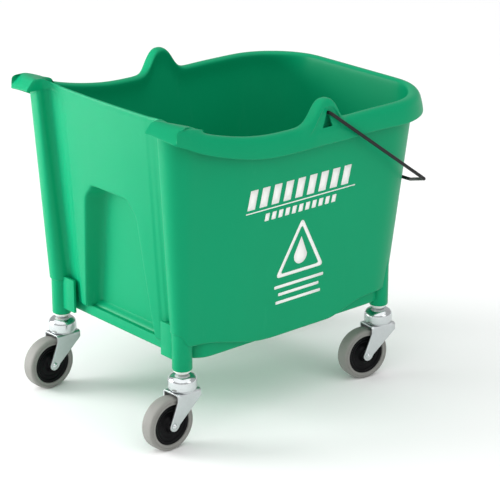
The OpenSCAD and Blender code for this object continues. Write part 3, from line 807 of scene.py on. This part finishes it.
    def plain_top(self, station):
        """Height of the rim without its lug."""
        kind, t = station
        horn = self.rim_z + self.horn_rise
        if kind in ("front", "corner"):
            return self.rim_z + 1.3
        if kind == "side":
            return self.side_top(t)
        if kind == "pillar":
            return min(horn - 3 + 2 * t, self.side_top(self.rim_xy(station)[0]))
        if kind == "nose":
            return horn
        if kind == "notch":
            return mix(horn, self.rim_z + self.end_rise + 2, t)
        return self.rim_z + self.end_rise + (0.5 if kind == "channel" else 0)

    def top_z(self, station):
        """Height of the rim with its lug."""
        return self.plain_top(station) + (self.lug_at(station[1]) if station[0] == "side" else 0)

    def inner_top(self, station):
        """Height of the rim's inner edge, which falls from each horn to the end wall."""
        kind, t = station
        end = self.rim_z + self.end_rise
        if kind == "pillar":
            return mix(self.side_top(self.rim_xy(("pillar", 0))[0]), end, ramp(t))
        return end if kind in ("nose", "notch") else self.top_z(station)

    def skirt_z(self, station):
        """Lower edge of the skirt."""
        kind, t = station
        top = self.plain_top(station)
        if kind in ("front", "corner"):
            return self.rim_z - self.skirt_h
        if kind == "side":
            return top - self.skirt_h + 2.5 * self.rearward(t, 160, 100)
        if kind == "pillar":
            return top - mix(27, 18, t)
        if kind == "nose":
            return top - 18
        if kind == "notch":
            return top - mix(18, 11, t)
        return top - 10

    def low_z(self, station):
        """Lower edge of the outer wall, which lifts beside each leg."""
        kind, t = station
        base = self.base_z
        if kind == "front":
            return base + 8
        if kind == "corner":
            return base + 8 + 12.5 * ramp(1.5 * t)
        if kind == "side":
            return base + 2.5 + 24 * self.rearward(t, 195, 130) + 18 * ramp((t - self.half_l + 215) / 75)
        if kind == "pillar":
            return mix(base + 26.5, self.step_z, ramp(2 * t))
        if kind == "nose":
            return self.step_z
        if kind == "notch":
            return mix(self.step_z, base + 17, t)
        return base + 17

    def flare(self, station, z, share, inset=0.0):
        """From the wall out to the rim by a share, at height z, then in by inset."""
        a, b = self.wall_xy(station, z, 0), self.rim_xy(station)
        kind, t = station
        on_end = kind == "nose" or (kind == "pillar" and t > 0.5)
        slope = 0.95 * max(0.0, z - self.skirt_z(station) - 2) if on_end else 0
        return mix(a[0], b[0] + slope, share), mix(a[1], b[1], share) - inset, z

    def hollow(self, station):
        """Share of the way out to the rim at which the skirt's inside stands."""
        a, b = self.wall_xy(station, self.top_z(station), 0), self.rim_xy(station)
        return max(0.2, 1 - self.skirt_t / max(0.5, math.dist(a, b)))

    def lipped(self, station, z, share):
        """The inside wall with the rim's inward lip, which stops at the pouring lip."""
        kind, t = station
        x, y = self.inner_xy(station, z)
        k = {"side": 7, "corner": 7 * ramp((t - 0.05) / 0.45)}.get(kind, 0) * share
        a = math.radians(90 * t if kind == "corner" else 90)
        return x - k * math.cos(a), y - k * math.sin(a), z

    def tuck(self, station, up):
        """How far the skirt's outside leans in at a share of its height, as a share of the rim's width."""
        kind, t = station
        on_lug = ramp((self.top_z(station) - self.plain_top(station)) / 14)
        most = {"pillar": max(0.0, 1 - 2 * t), "nose": 0, "notch": 0}.get(kind, 1)
        return 0.52 * most * (1 - on_lug) * up ** 1.4

    def crown(self, station, share, drop):
        """A ring over the rim's top, a share of the way in and a drop below its highest line."""
        high, low = self.top_z(station), self.inner_top(station)
        thin = min(1, (high - self.skirt_z(station)) / 30) if self.wide_rim(station) else 0.35
        z = mix(high, low, share) - drop * thin
        up = 1 - drop / self.skirt_h
        a, b = self.flare(station, z, 1 - self.tuck(station, up)), self.lipped(station, low, 1)
        return mix(a[0], b[0], share), mix(a[1], b[1], share), z

    @staticmethod
    def wide_rim(station):
        """The end wall's top edge has no rolled rim."""
        return station[0] not in ("channel", "flank", "face", "edge", "panel")

    def fold(self, station, z, share, rank):
        """A ring of the skirt's fold, which dies out into the flat top of the end wall."""
        if self.wide_rim(station):
            return self.flare(station, z, share)
        z = self.top_z(station) - 16 + 0.9 * rank
        return (*self.wall_xy(station, z, 0), z)

    def lug_ring(self, station, up, lug, inset, rank):
        """A ring of the skirt's outside, up by a share of its height, or set in where it crosses a lug."""
        if not self.wide_rim(station):
            return self.fold(station, 0, 0, rank)
        top, base = self.top_z(station), self.plain_top(station)
        share = ramp((top - base) / 14)
        z = mix(mix(self.skirt_z(station) + 0.9, base, up), lug(top, base), share)
        return self.flare(station, z, 1 - self.tuck(station, up), inset * share)

    def rings(self):
        """Rings of points from the underside, up the outside, over the rim and down the inside."""
        def ring(place):
            half = [place(s) for s in self.stations]
            full = half + [(x, -y, z) for x, y, z in half[-2:0:-1]]
            return [tub_point(*point) for point in full]

        base, pocket, roof = self.base_z, self.pocket_z, self.pocket_z + 1.6 * self.wall
        low, straight = self.low_z, self.straight_z
        crease = {}
        out = []

        def add(place, sharp=0.0):
            out.append(ring(place))
            if sharp:
                crease[len(out)] = sharp

        def height(z, station):
            return z(station) if callable(z) else z

        def wall(z, w=0.0, sharp=0.0):
            add(lambda s: (*self.wall_xy(s, height(z, s), w), height(z, s)), sharp)

        def inner(z):
            add(lambda s: (*self.inner_xy(s, height(z, s)), height(z, s)))

        add(lambda s: (*self.band_xy(s, 2), base), 0.4)
        add(lambda s: (*self.band_xy(s, 0), base + 2), 0.4)
        add(lambda s: (*self.band_xy(s, 0), low(s) - 0.2), 0.8)
        wall(low, 0.8, 0.7)
        wall(lambda s: low(s) + 1.2, 0, 0.7)
        wall(lambda s: mix(low(s), straight, 0.12))
        wall(lambda s: mix(low(s), straight, 0.5))
        wall(straight)
        for z in (base + 130, pocket - 30, pocket - 18, pocket - 10, pocket - 4):
            wall(z)
        wall(pocket - 1.2, 0, 0.3)
        wall(pocket + 1.2, 0, 0.3)
        for z in (pocket + 7, self.rim_z - 62):
            wall(z)
        add(lambda s: self.fold(s, self.skirt_z(s) + 3, 0, 0))
        add(lambda s: self.fold(s, self.top_z(s) - 6, 0, 1))
        add(lambda s: self.fold(s, self.top_z(s) - 6, self.hollow(s), 2))
        add(lambda s: self.fold(s, self.skirt_z(s) + 0.7, self.hollow(s), 3))
        rim_from = len(out)
        add(lambda s: self.fold(s, self.skirt_z(s), mix(self.hollow(s), 1, 0.6), 4))
        add(lambda s: self.fold(s, self.skirt_z(s) + 0.9, 1, 5))
        add(lambda s: self.lug_ring(s, 0.35, lambda top, plain: plain - 8.6, 0, 6))
        add(lambda s: self.lug_ring(s, 0.42, lambda top, plain: plain - 7.4, 2.2, 7))
        add(lambda s: self.lug_ring(s, 0.52, lambda top, plain: top - 12.6, 2.2, 8))
        add(lambda s: self.lug_ring(s, 0.59, lambda top, plain: top - 11.4, 0, 9))
        for share, drop in ((0, 9), (0.05, 4), (0.18, 1.1), (0.4, 0), (0.8, 0.6), (1, 3)):
            add(lambda s, f=share, d=drop: self.crown(s, f, d))
        rim_to = len(out)
        for drop, share in ((9, 0.75), (22, 0.25), (38, 0)):
            add(lambda s, d=drop, f=share: self.lipped(s, self.inner_top(s) - d, f))
        for z in (self.rim_z - 70, roof + 4, roof, pocket - 5, pocket - 18, base + 130):
            inner(z)
        for u in (1, 0.45, 0.05):
            inner(lambda s, u=u: mix(low(s), straight, u) + self.wall)
        add(lambda s: (*self.band_xy(s, self.wall), low(s) + self.wall - 0.2))
        add(lambda s: (*self.band_xy(s, self.wall + 3), base + 4))
        add(lambda s: (*self.band_xy(s, self.wall + 10), base + 4))
        corners = [i for i, s in enumerate(self.stations) if s[0] == "pillar" and 0.4 < s[1] < 0.6]
        corners += [i for i, s in enumerate(self.stations) if s[0] == "nose" and s[1] == 0.6]
        count = len(out[0])
        ridges = {i: (rim_from, rim_to, 0.75) for c in corners for i in (c, (count - c) % count)}
        return out, crease, ridges


class BUCKET_OT_tub(bpy.types.Operator):
    """Raises the moulded tub ring by ring, with rim, lugs, horns and end pocket, and cuts the bail holes"""

    bl_idname = "bucket.tub"
    bl_label = "Tub"

    def execute(self, context):
        sizes = context.scene.bucket_tub
        rings, creases, ridges = TubShape(sizes).rings()
        tub = ring_piece("tub", rings, creases=creases, ridges=ridges)
        smoothed(tub, sizes.smooth)
        for side in (-1, 1):
            self.cut_hole(tub, side, sizes)
        smooth_shaded(tub, 40)
        dress(tub, material("green"), "bucket", "green_plastic", "bucket")
        return {"FINISHED"}

    @staticmethod
    def cut_hole(tub, side, sizes):
        """Cuts the three-cornered hole that a bail end hangs in."""
        wire_r = bpy.context.scene.bucket_bail.wire_d / MM / 2 + 0.1
        corners = [(-0.6, wire_r + 0.4, 0.5), (0.6, wire_r + 0.4, 0.5), (9.5, -21, 1.6), (-9.5, -21, 1.6)]
        outline = rounded(corners, 1.5, closed=True)
        outer, depth = sizes.width / 2 + 0.004, 0.004 + 0.003 + 0.005
        rings = [[Vector((BAIL_PIVOT.x + x * MM, side * y, BAIL_PIVOT.z + z * MM)) for x, z in outline]
                 for y in (outer, outer - depth)]
        cutter = ring_piece("cutter", rings)
        finish_with(tub, "BOOLEAN", operation="DIFFERENCE", solver="EXACT", object=cutter)
        bpy.data.objects.remove(cutter)


class BUCKET_OT_legs(bpy.types.Operator):
    """Turns the four leg tubes, with their stem sockets"""

    bl_idname = "bucket.legs"
    bl_label = "Legs"

    def execute(self, context):
        sizes = context.scene.bucket_tub
        r = sizes.leg_d / MM / 2
        low = sizes.base_z / MM - LEG_DROP
        top = sizes.base_z / MM + LEG_RISE
        socket = context.scene.bucket_casters.stem_d / MM / 2 + 2.05
        profile = [(socket, low + SOCKET_DEPTH), (socket, low + 0.6), (socket + 0.6, low), (r - 1.6, low),
                   (r - 0.5, low + 0.4), (r, low + 1.6), (r, top - 20), (r, top), (r - 1.5, top + 3),
                   (r - 6, top + 6), (r - 10, top + 7)]
        pattern = turned("leg_pattern", profile)
        for place in PLACES:
            leg = copied(pattern, place + "_leg", swivel_matrix(place))
            smooth_shaded(leg)
            dress(leg, material("green"), "bucket", "green_plastic")
        dropped(pattern)
        for side in (-1, 1):
            dress(self.web(sizes, side), material("green"), "bucket", "green_plastic")
        return {"FINISHED"}

    @staticmethod
    def web(s, side):
        """The web that ties a rear leg to the end wall."""
        shape = TubShape(s)
        low, high = shape.base_z + 1.5, shape.step_z + 6
        x, near, far = shape.leg_x - 4, shape.leg_y - shape.leg_r + 2, shape.channel_y - 6
        plan = [(x - 2, near), (x + 2, near), (x + 2, far), (x - 2, far)]
        rings = [[tub_point(a, side * b, z) for a, b in plan] for z in (low, high)]
        web = ring_piece("web_left" if side > 0 else "web_right", rings)
        return smooth_shaded(finish_with(web, "BEVEL", width=0.4 * MM, segments=2))


def mirrored(side, *middle):
    """A turned profile from one side to the other, with what lies in the middle."""
    return [(r, -h) for r, h in side] + list(middle) + [(r, h) for r, h in reversed(side)]


def place_four(patterns):
    """Copies each pattern to the four casters as what stands for its node, then drops the pattern."""
    for part, (pattern, finish, slot, body) in patterns.items():
        for place in PLACES:
            name = f"{place}_{part}"
            piece = copied(pattern, name + "_shell", swivel_matrix(place))
            smooth_shaded(piece)
            ride = body if body == "bucket" else f"{place}_{body}"
            dress(piece, material(finish), ride, slot, name)
        dropped(pattern)


def swivel_matrix(place):
    """Takes a caster modelled on its own swivel axis, trailing towards -X, to its place on the bucket."""
    pos = JOINTS[place + "_swivel_turn"]["pos_m"]
    axle = JOINTS[place + "_wheel_spin"]["axis"]
    return Matrix.Translation((pos[0], pos[1], 0)) @ Matrix.Rotation(math.atan2(-axle[0], axle[1]), 4, "Z")


class BUCKET_OT_bail(bpy.types.Operator):
    """Bends the wire bail and its headed ends"""

    bl_idname = "bucket.bail"
    bl_label = "Bail"

    def execute(self, context):
        s, tub = context.scene.bucket_bail, context.scene.bucket_tub
        half_w, wire = tub.width / MM / 2, s.wire_d / MM
        out_y, arm, reach = half_w + wire / 2 + 1.2, s.arm / MM, s.reach / MM
        grip = half_w - 55.5
        bend = s.bend / MM
        half = [(0, half_w - 6.2, 0), (0, out_y, 3.4), (arm, out_y, bend), (arm + 2.6, out_y - 5, 3),
                (reach - 7, grip + 12, 16), (reach - 2.2, grip + 5, 6), (reach - 0.4, grip - 4, 12),
                (reach - 0.4, 0, 0)]
        path = rounded(half, bend, steps=8)
        path += [(d, -y) for d, y in path[-2::-1]]
        drop = s.drop
        points = [BAIL_PIVOT + Vector((d * math.cos(drop), 0, -d * math.sin(drop))) * MM
                  + Vector((0, y * MM, 0)) for d, y in path]
        normal = Vector((math.sin(drop), 0, math.cos(drop)))
        sides = 20
        rings = []
        for i, p in enumerate(points):
            a, b = points[max(0, i - 1)], points[min(len(points) - 1, i + 1)]
            across = (b - a).normalized().cross(normal).normalized()
            rings.append([p + s.wire_d / 2 * (math.cos(t) * across + math.sin(t) * normal)
                          for t in (2 * math.pi * k / sides for k in range(sides))])
        wire_piece = ring_piece("bail_wire", rings)
        heads = [self.head(side, half_w) for side in (-1, 1)]
        bail = joined("bail", [wire_piece, *heads])
        smooth_shaded(bail)
        dress(bail, material("wire"), "bail", "black_wire", "bail")
        return {"FINISHED"}

    @staticmethod
    def head(side, half_w):
        """The upset head that keeps a wire end in its lug."""
        inner = half_w - 8.4
        profile = [(0.8, inner), (2.6, inner + 0.1), (3.6, inner + 0.6), (3.8, inner + 1.2),
                   (3.5, inner + 1.8), (2.5, inner + 2), (1.0, inner + 2)]
        return turned("bail_head", [(r, side * h) for r, h in profile], axis="Y",
                      centre=(BAIL_PIVOT.x, 0, BAIL_PIVOT.z), steps=24)


class BUCKET_OT_swivel_heads(bpy.types.Operator):
    """Turns the white collars and the domed swivel caps, and presses the forks"""

    bl_idname = "bucket.swivel_heads"
    bl_label = "Swivel heads"

    def execute(self, context):
        c, tub = context.scene.bucket_casters, context.scene.bucket_tub
        leg_z = tub.base_z / MM - LEG_DROP
        cap_top = leg_z - COLLAR_H
        plate_z = c.wheel_d / MM + WHEEL_ROOM
        cap_low = plate_z + c.plate_t / MM + 1.6
        place_four({
            "socket_insert": (self.collar(c, tub, leg_z, cap_top), "nylon", "white_nylon", "bucket"),
            "raceway_cap": (self.cap(c, cap_low, cap_top), "bright", "zinc", "bucket"),
            "fork": (self.fork(c, plate_z), "zinc", "zinc", "swivel"),
        })
        return {"FINISHED"}

    @staticmethod
    def collar(c, tub, leg_z, cap_top):
        stem = c.stem_d / MM / 2 + 0.05
        wide, narrow = tub.leg_d / MM / 2 - 1.6, stem + 2.6
        profile = [(stem, cap_top + 0.4), (narrow - 0.5, cap_top + 0.2), (narrow, cap_top + 0.6),
                   (wide - 0.6, leg_z - 2.6), (wide, leg_z - 1.8), (wide, leg_z - 0.4),
                   (wide - 0.4, leg_z - 0.05), (stem + 1.95, leg_z - 0.05), (stem + 1.95, leg_z + 40),
                   (stem, leg_z + 41)]
        return turned("collar", profile, loop=True)

    @staticmethod
    def cap(c, low, top):
        r, stem = c.cap_d / MM / 2, c.stem_d / MM / 2 + 0.05
        neck = stem + 3.8
        dome = [(neck + (r - neck) * math.cos(math.radians(a)), top - 9.2 + 9.0 * math.sin(math.radians(a)))
                for a in range(84, -1, -7)]
        profile = ([(stem, top - 0.2), (neck - 1.0, top)] + dome
                   + [(r, low + 6), (r, low + 1.4), (r - 0.3, low + 0.5), (r - 0.9, low),
                      (r - 1.6, low + 0.3), (r - 1.8, low + 1), (r - 1.8, low + 4.6),
                      (r - 4.4, low + 6.0), (stem, low + 6.2)])
        return turned("cap", profile, loop=True, steps=72)

    @staticmethod
    def fork(c, plate_z):
        """A strip of plate bent down at both sides, its cheeks narrowing to the axle, with the ball race."""
        t, half = c.plate_t / MM, c.fork_gap / MM / 2
        axle_z, foot = c.wheel_d / MM / 2, 7.8
        bend, plate_rear, plate_front = 2.6, -21.0, 20.0
        top, mid_y = plate_z + t / 2, half + t / 2
        down = [(mid_y, z) for z in (axle_z - foot + 0.15, axle_z - foot * 0.9, axle_z - foot * 0.7,
                                     axle_z - foot * 0.4, axle_z, axle_z + 8, axle_z + 17, axle_z + 26,
                                     plate_z - 8, plate_z - 3)]
        arc = [(mid_y - bend + bend * math.cos(a), top - bend + bend * math.sin(a))
               for a in (math.radians(d) for d in (0, 22, 45, 68, 90))]
        across = [(y, top) for y in (mid_y - bend - 3, 6, 0)]
        side = down + arc + across
        strip = side + [(-y, z) for y, z in side[-2::-1]]
        steps = 8

        def span(z):
            rise = min(1.0, max(0.0, (z - axle_z) / (plate_z - 8 - axle_z)))
            if z < axle_z - foot * 0.14:
                w = math.sqrt(max(0.01, foot * foot - (axle_z - z) ** 2))
                grow = max(0.0, (z - axle_z + foot * 0.5)) * 0.35
                return -TRAIL - w, -TRAIL + w + grow
            return mix(-TRAIL - foot, plate_rear, rise), mix(-TRAIL + foot + 1.4, plate_front, rise)

        deselect()
        bpy.ops.mesh.primitive_grid_add(x_subdivisions=len(strip) - 1, y_subdivisions=steps, size=1)
        fork = bpy.context.object
        order = sorted(fork.data.vertices, key=lambda v: (round(v.co.x, 5), round(v.co.y, 5)))
        for n, v in enumerate(order):
            y, z = strip[n // (steps + 1)]
            low, high = span(z)
            v.co = Vector((mix(low, high, (n % (steps + 1)) / steps), y, z)) * MM
        only(fork)
        bpy.ops.object.mode_set(mode="EDIT")
        bpy.ops.mesh.select_all(action="SELECT")
        bpy.ops.mesh.normals_make_consistent(inside=False)
        bpy.ops.object.mode_set(mode="OBJECT")
        finish_with(fork, "SOLIDIFY", thickness=t * MM, offset=0.0, use_even_offset=True)
        finish_with(fork, "BEVEL", width=0.45 * MM, segments=2, limit_method="ANGLE",
                    angle_limit=math.radians(50))
        race = turned("race", [(4.1, plate_z + 0.2), (4.1, plate_z + t + 2.6), (5, plate_z + t + 3.3),
                               (11, plate_z + t + 3.4), (12, plate_z + t + 2.5), (15.2, plate_z + t + 2.5),
                               (16.2, plate_z + t + 3.0), (16.9, plate_z + t + 2), (17.6, plate_z + t + 0.2),
                               (17.6, plate_z + t - 0.6)], loop=True)
        return joined("fork", [fork, race])


class BUCKET_OT_wheels(bpy.types.Operator):
    """Turns the tyres, hubs and riveted axles"""

    bl_idname = "bucket.wheels"
    bl_label = "Wheels"

    def execute(self, context):
        c = context.scene.bucket_casters
        axle = Vector((-TRAIL * MM, 0, c.wheel_d / 2))
        r, hub_r, half = c.wheel_d / MM / 2, (c.wheel_d / 2 - c.tyre_t) / MM, c.tyre_w / MM / 2
        place_four({
            "tyre": (self.tyre(r, hub_r, half, axle), "rubber", "grey_rubber", "wheel"),
            "hub": (self.hub(hub_r, half, axle), "black", "black_plastic", "wheel"),
            "axle": (self.rivet(c.fork_gap / MM / 2 + c.plate_t / MM, axle), "bright", "zinc", "swivel"),
        })
        return {"FINISHED"}

    @staticmethod
    def tyre(r, hub_r, half, axle):
        """A crowned tread, a groove under each shoulder, and flat walls."""
        side = [(hub_r, half - 1.0), (hub_r + 0.5, half - 0.2), (hub_r + 1.2, half), (r - 5.4, half),
                (r - 4.8, half - 0.7), (r - 4.2, half - 0.1), (r - 3.4, half - 0.2), (r - 1.6, half - 1.0),
                (r - 0.6, half - 2.4), (r - 0.2, half - 4.4), (r - 0.05, half - 7)]
        return turned("tyre", mirrored(side, (r, 0)), axis="Y", centre=axle, steps=112, loop=True)

    @staticmethod
    def hub(hub_r, half, axle):
        """A dished hub with a stepped rim and a boss."""
        rim = half - 1.5
        side = [(5.1, half + 2), (8.0, half + 2), (8.6, half + 1.4), (9.4, half - 1.5), (11.2, 6.6),
                (12.4, 5.8), (18.4, 6.0), (19.4, 6.8), (20.2, 7.2), (hub_r - 5.4, 7.4),
                (hub_r - 4.4, rim - 0.4), (hub_r - 3.8, rim), (hub_r - 0.9, rim), (hub_r - 0.2, rim - 0.5)]
        return turned("hub", mirrored(side), axis="Y", centre=axle, steps=96, loop=True)

    @staticmethod
    def rivet(reach, axle):
        """An axle with a domed head on a washer at each end."""
        side = [(0.7, reach + 3.0), (1.8, reach + 2.8), (2.8, reach + 2.3), (3.4, reach + 1.5),
                (3.6, reach + 0.9), (4.6, reach + 0.85), (4.7, reach + 0.4), (4.6, reach + 0.05),
                (3.0, reach + 0.03)]
        return turned("rivet", mirrored(side), axis="Y", centre=axle, steps=40)


class BUCKET_OT_print(bpy.types.Operator):
    """Lays the white sign on the right side wall: slanted bars, a rule and a triangle with a drop"""

    bl_idname = "bucket.print"
    bl_label = "White print"

    def execute(self, context):
        shape = TubShape(context.scene.bucket_tub)
        marks = [self.mark(shape, outline, hole) for outline, hole in sign_marks()]
        sign = joined("printed_sign", marks)
        dress(sign, material("ink"), "bucket", "green_plastic")
        return {"FINISHED"}

    @staticmethod
    def mark(shape, outline, hole):
        """One mark as a thin layer on the wall."""
        film, root = 0.12, 0.3

        def ring(points, lift):
            return [tub_point(x, -(shape.side_y(z) + lift), z) for x, z in points]

        rings = [ring(outline, -root), ring(outline, film)]
        if hole:
            rings += [ring(hole, film), ring(hole, -root)]
        return ring_piece("mark", rings, loop=bool(hole))


def bar(x0, x1, z0, z1, slant=0.0, radius=0.8):
    """A bar with round corners, its top moved along by its slant."""
    return rounded([(x0, z0), (x1, z0), (x1 + slant, z1), (x0 + slant, z1)], radius, steps=3, closed=True)


def sign_marks():
    """Outlines of the sign's marks, as place along the bucket and height, each with its hole."""
    marks = []
    left, right = -118.0, 76.0
    count = 9
    pitch = (right - left) / count
    for i in range(count):
        x = left + i * pitch
        marks.append((bar(x, x + pitch * 0.62, 326, 354, slant=5), None))
    marks.append((bar(left - 2, right + 6, 320.4, 322, radius=0.5), None))
    count = 11
    inner_l, inner_r = -86.0, 50.0
    pitch = (inner_r - inner_l) / count
    for i in range(count):
        x = inner_l + i * pitch
        marks.append((bar(x, x + pitch * 0.6, 304, 315, slant=2), None))
    triangle = [(-60, 212), (30, 212), (-15, 294)]
    inside = [(-51, 217), (21, 217), (-15, 283)]
    marks.append((rounded(triangle, 5, steps=6, closed=True), rounded(inside, 3, steps=6, closed=True)))
    drop = [(-15 + 12 * math.cos(math.radians(a)), 237 + 12 * math.sin(math.radians(a)))
            for a in range(-200, 21, 13)] + [(-15, 266)]
    marks.append((drop, None))
    for z, half in ((196, 46), (184, 38), (172, 42)):
        marks.append((bar(-15 - half, -15 + half, z, z + 4.5, radius=1.2), None))
    return marks


class BUCKET_OT_inner_pieces(bpy.types.Operator):
    """Gives the stems, balls, washers, bushings and grip rings their finish"""

    bl_idname = "bucket.inner_pieces"
    bl_label = "Inner pieces"

    def execute(self, context):
        finishes = {"grip_ring": "steel", "stem": "zinc", "ball_set": "steel", "kingpin_washer": "zinc",
                    "bushing": "steel"}
        for place in PLACES:
            for part, finish in finishes.items():
                node = frame["nodes"][f"{place}_{part}"]
                node.data.materials.clear()
                node.data.materials.append(material(finish))
        return {"FINISHED"}


class BUCKET_OT_studio(bpy.types.Operator):
    """Sets the pale floor, the soft lights and the camera"""

    bl_idname = "bucket.studio"
    bl_label = "Studio"

    def execute(self, context):
        s = context.scene.bucket_studio
        deselect()
        bpy.ops.mesh.primitive_plane_add(size=60, location=(0, 0, 0))
        floor = context.object
        floor.name = "floor"
        floor.data.materials.append(floor_paper(s.floor))
        self.world(context)
        self.light("key", (-1.5, 1.35, 0.62), 1.1, 42)
        self.light("fill", (0.6, -2.6, 1.2), 1.6, 8)
        self.overhead()
        self.camera(context, s)
        context.scene.view_settings.view_transform = "Standard"
        return {"FINISHED"}

    @staticmethod
    def world(context):
        world = bpy.data.worlds.new("studio")
        world.use_nodes = True
        background = world.node_tree.nodes["Background"]
        background.inputs["Color"].default_value = (1, 1, 1, 1)
        background.inputs["Strength"].default_value = 0.52
        context.scene.world = world

    @staticmethod
    def light(name, place, size, power):
        bpy.ops.object.light_add(type="AREA", location=place)
        lamp = bpy.context.object
        lamp.name = name
        lamp.data.shape = "DISK"
        lamp.data.size = size
        lamp.data.energy = power
        aim = Vector((0, 0, 0.25)) - Vector(place)
        lamp.rotation_euler = aim.to_track_quat("-Z", "Y").to_euler()

    @staticmethod
    def overhead():
        bpy.ops.object.light_add(type="SUN", location=(0, 0, 3))
        lamp = bpy.context.object
        lamp.name = "overhead"
        lamp.data.energy = 1.7
        lamp.data.angle = math.radians(100)
        lamp.rotation_euler = Vector((0.25, 0.15, -1)).to_track_quat("-Z", "Y").to_euler()

    @staticmethod
    def camera(context, s):
        a, e = s.azimuth, s.elevation
        back = Vector((math.sin(a) * math.cos(e), -math.cos(a) * math.cos(e), math.sin(e)))
        target = Vector((-0.22328 + MIDDLE_X, -0.29898, 0.33128))
        bpy.ops.object.camera_add(location=target + back * s.distance)
        camera = context.object
        camera.name = "camera"
        camera.rotation_euler = (-back).to_track_quat("-Z", "Y").to_euler()
        camera.data.lens = s.lens
        camera.data.sensor_width = 36
        camera.data.clip_end = 100
        context.scene.camera = camera


STEPS = (BUCKET_OT_studio, BUCKET_OT_tub, BUCKET_OT_legs, BUCKET_OT_bail, BUCKET_OT_swivel_heads,
         BUCKET_OT_wheels, BUCKET_OT_print, BUCKET_OT_inner_pieces)
SETTINGS = {"bucket_tub": TubSizes, "bucket_bail": BailSizes, "bucket_casters": CasterSizes,
            "bucket_finishes": Finishes, "bucket_studio": StudioSettings}


class BUCKET_PT_panel(bpy.types.Panel):
    """Lists the steps that build the mop bucket"""

    bl_idname = "BUCKET_PT_panel"
    bl_label = "Mop Bucket"
    bl_space_type = "VIEW_3D"
    bl_region_type = "UI"
    bl_category = "Mop Bucket"

    def draw(self, context):
        for step in STEPS:
            self.layout.operator(step.bl_idname)
        for name, group in SETTINGS.items():
            box = self.layout.box()
            for key in group.__annotations__:
                box.prop(getattr(context.scene, name), key)


CLASSES = (*SETTINGS.values(), *STEPS, BUCKET_PT_panel)


def register():
    for cls in CLASSES:
        bpy.utils.register_class(cls)
    for name, group in SETTINGS.items():
        setattr(bpy.types.Scene, name, PointerProperty(type=group))


def unregister():
    for name in SETTINGS:
        delattr(bpy.types.Scene, name)
    for cls in reversed(CLASSES):
        bpy.utils.unregister_class(cls)


def main():
    register()
    bpy.ops.bucket.studio()
    bpy.ops.bucket.tub()
    bpy.ops.bucket.legs()
    bpy.ops.bucket.bail()
    bpy.ops.bucket.swivel_heads()
    bpy.ops.bucket.wheels()
    bpy.ops.bucket.print()
    bpy.ops.bucket.inner_pieces()


if __name__ == "__main__":
    main()
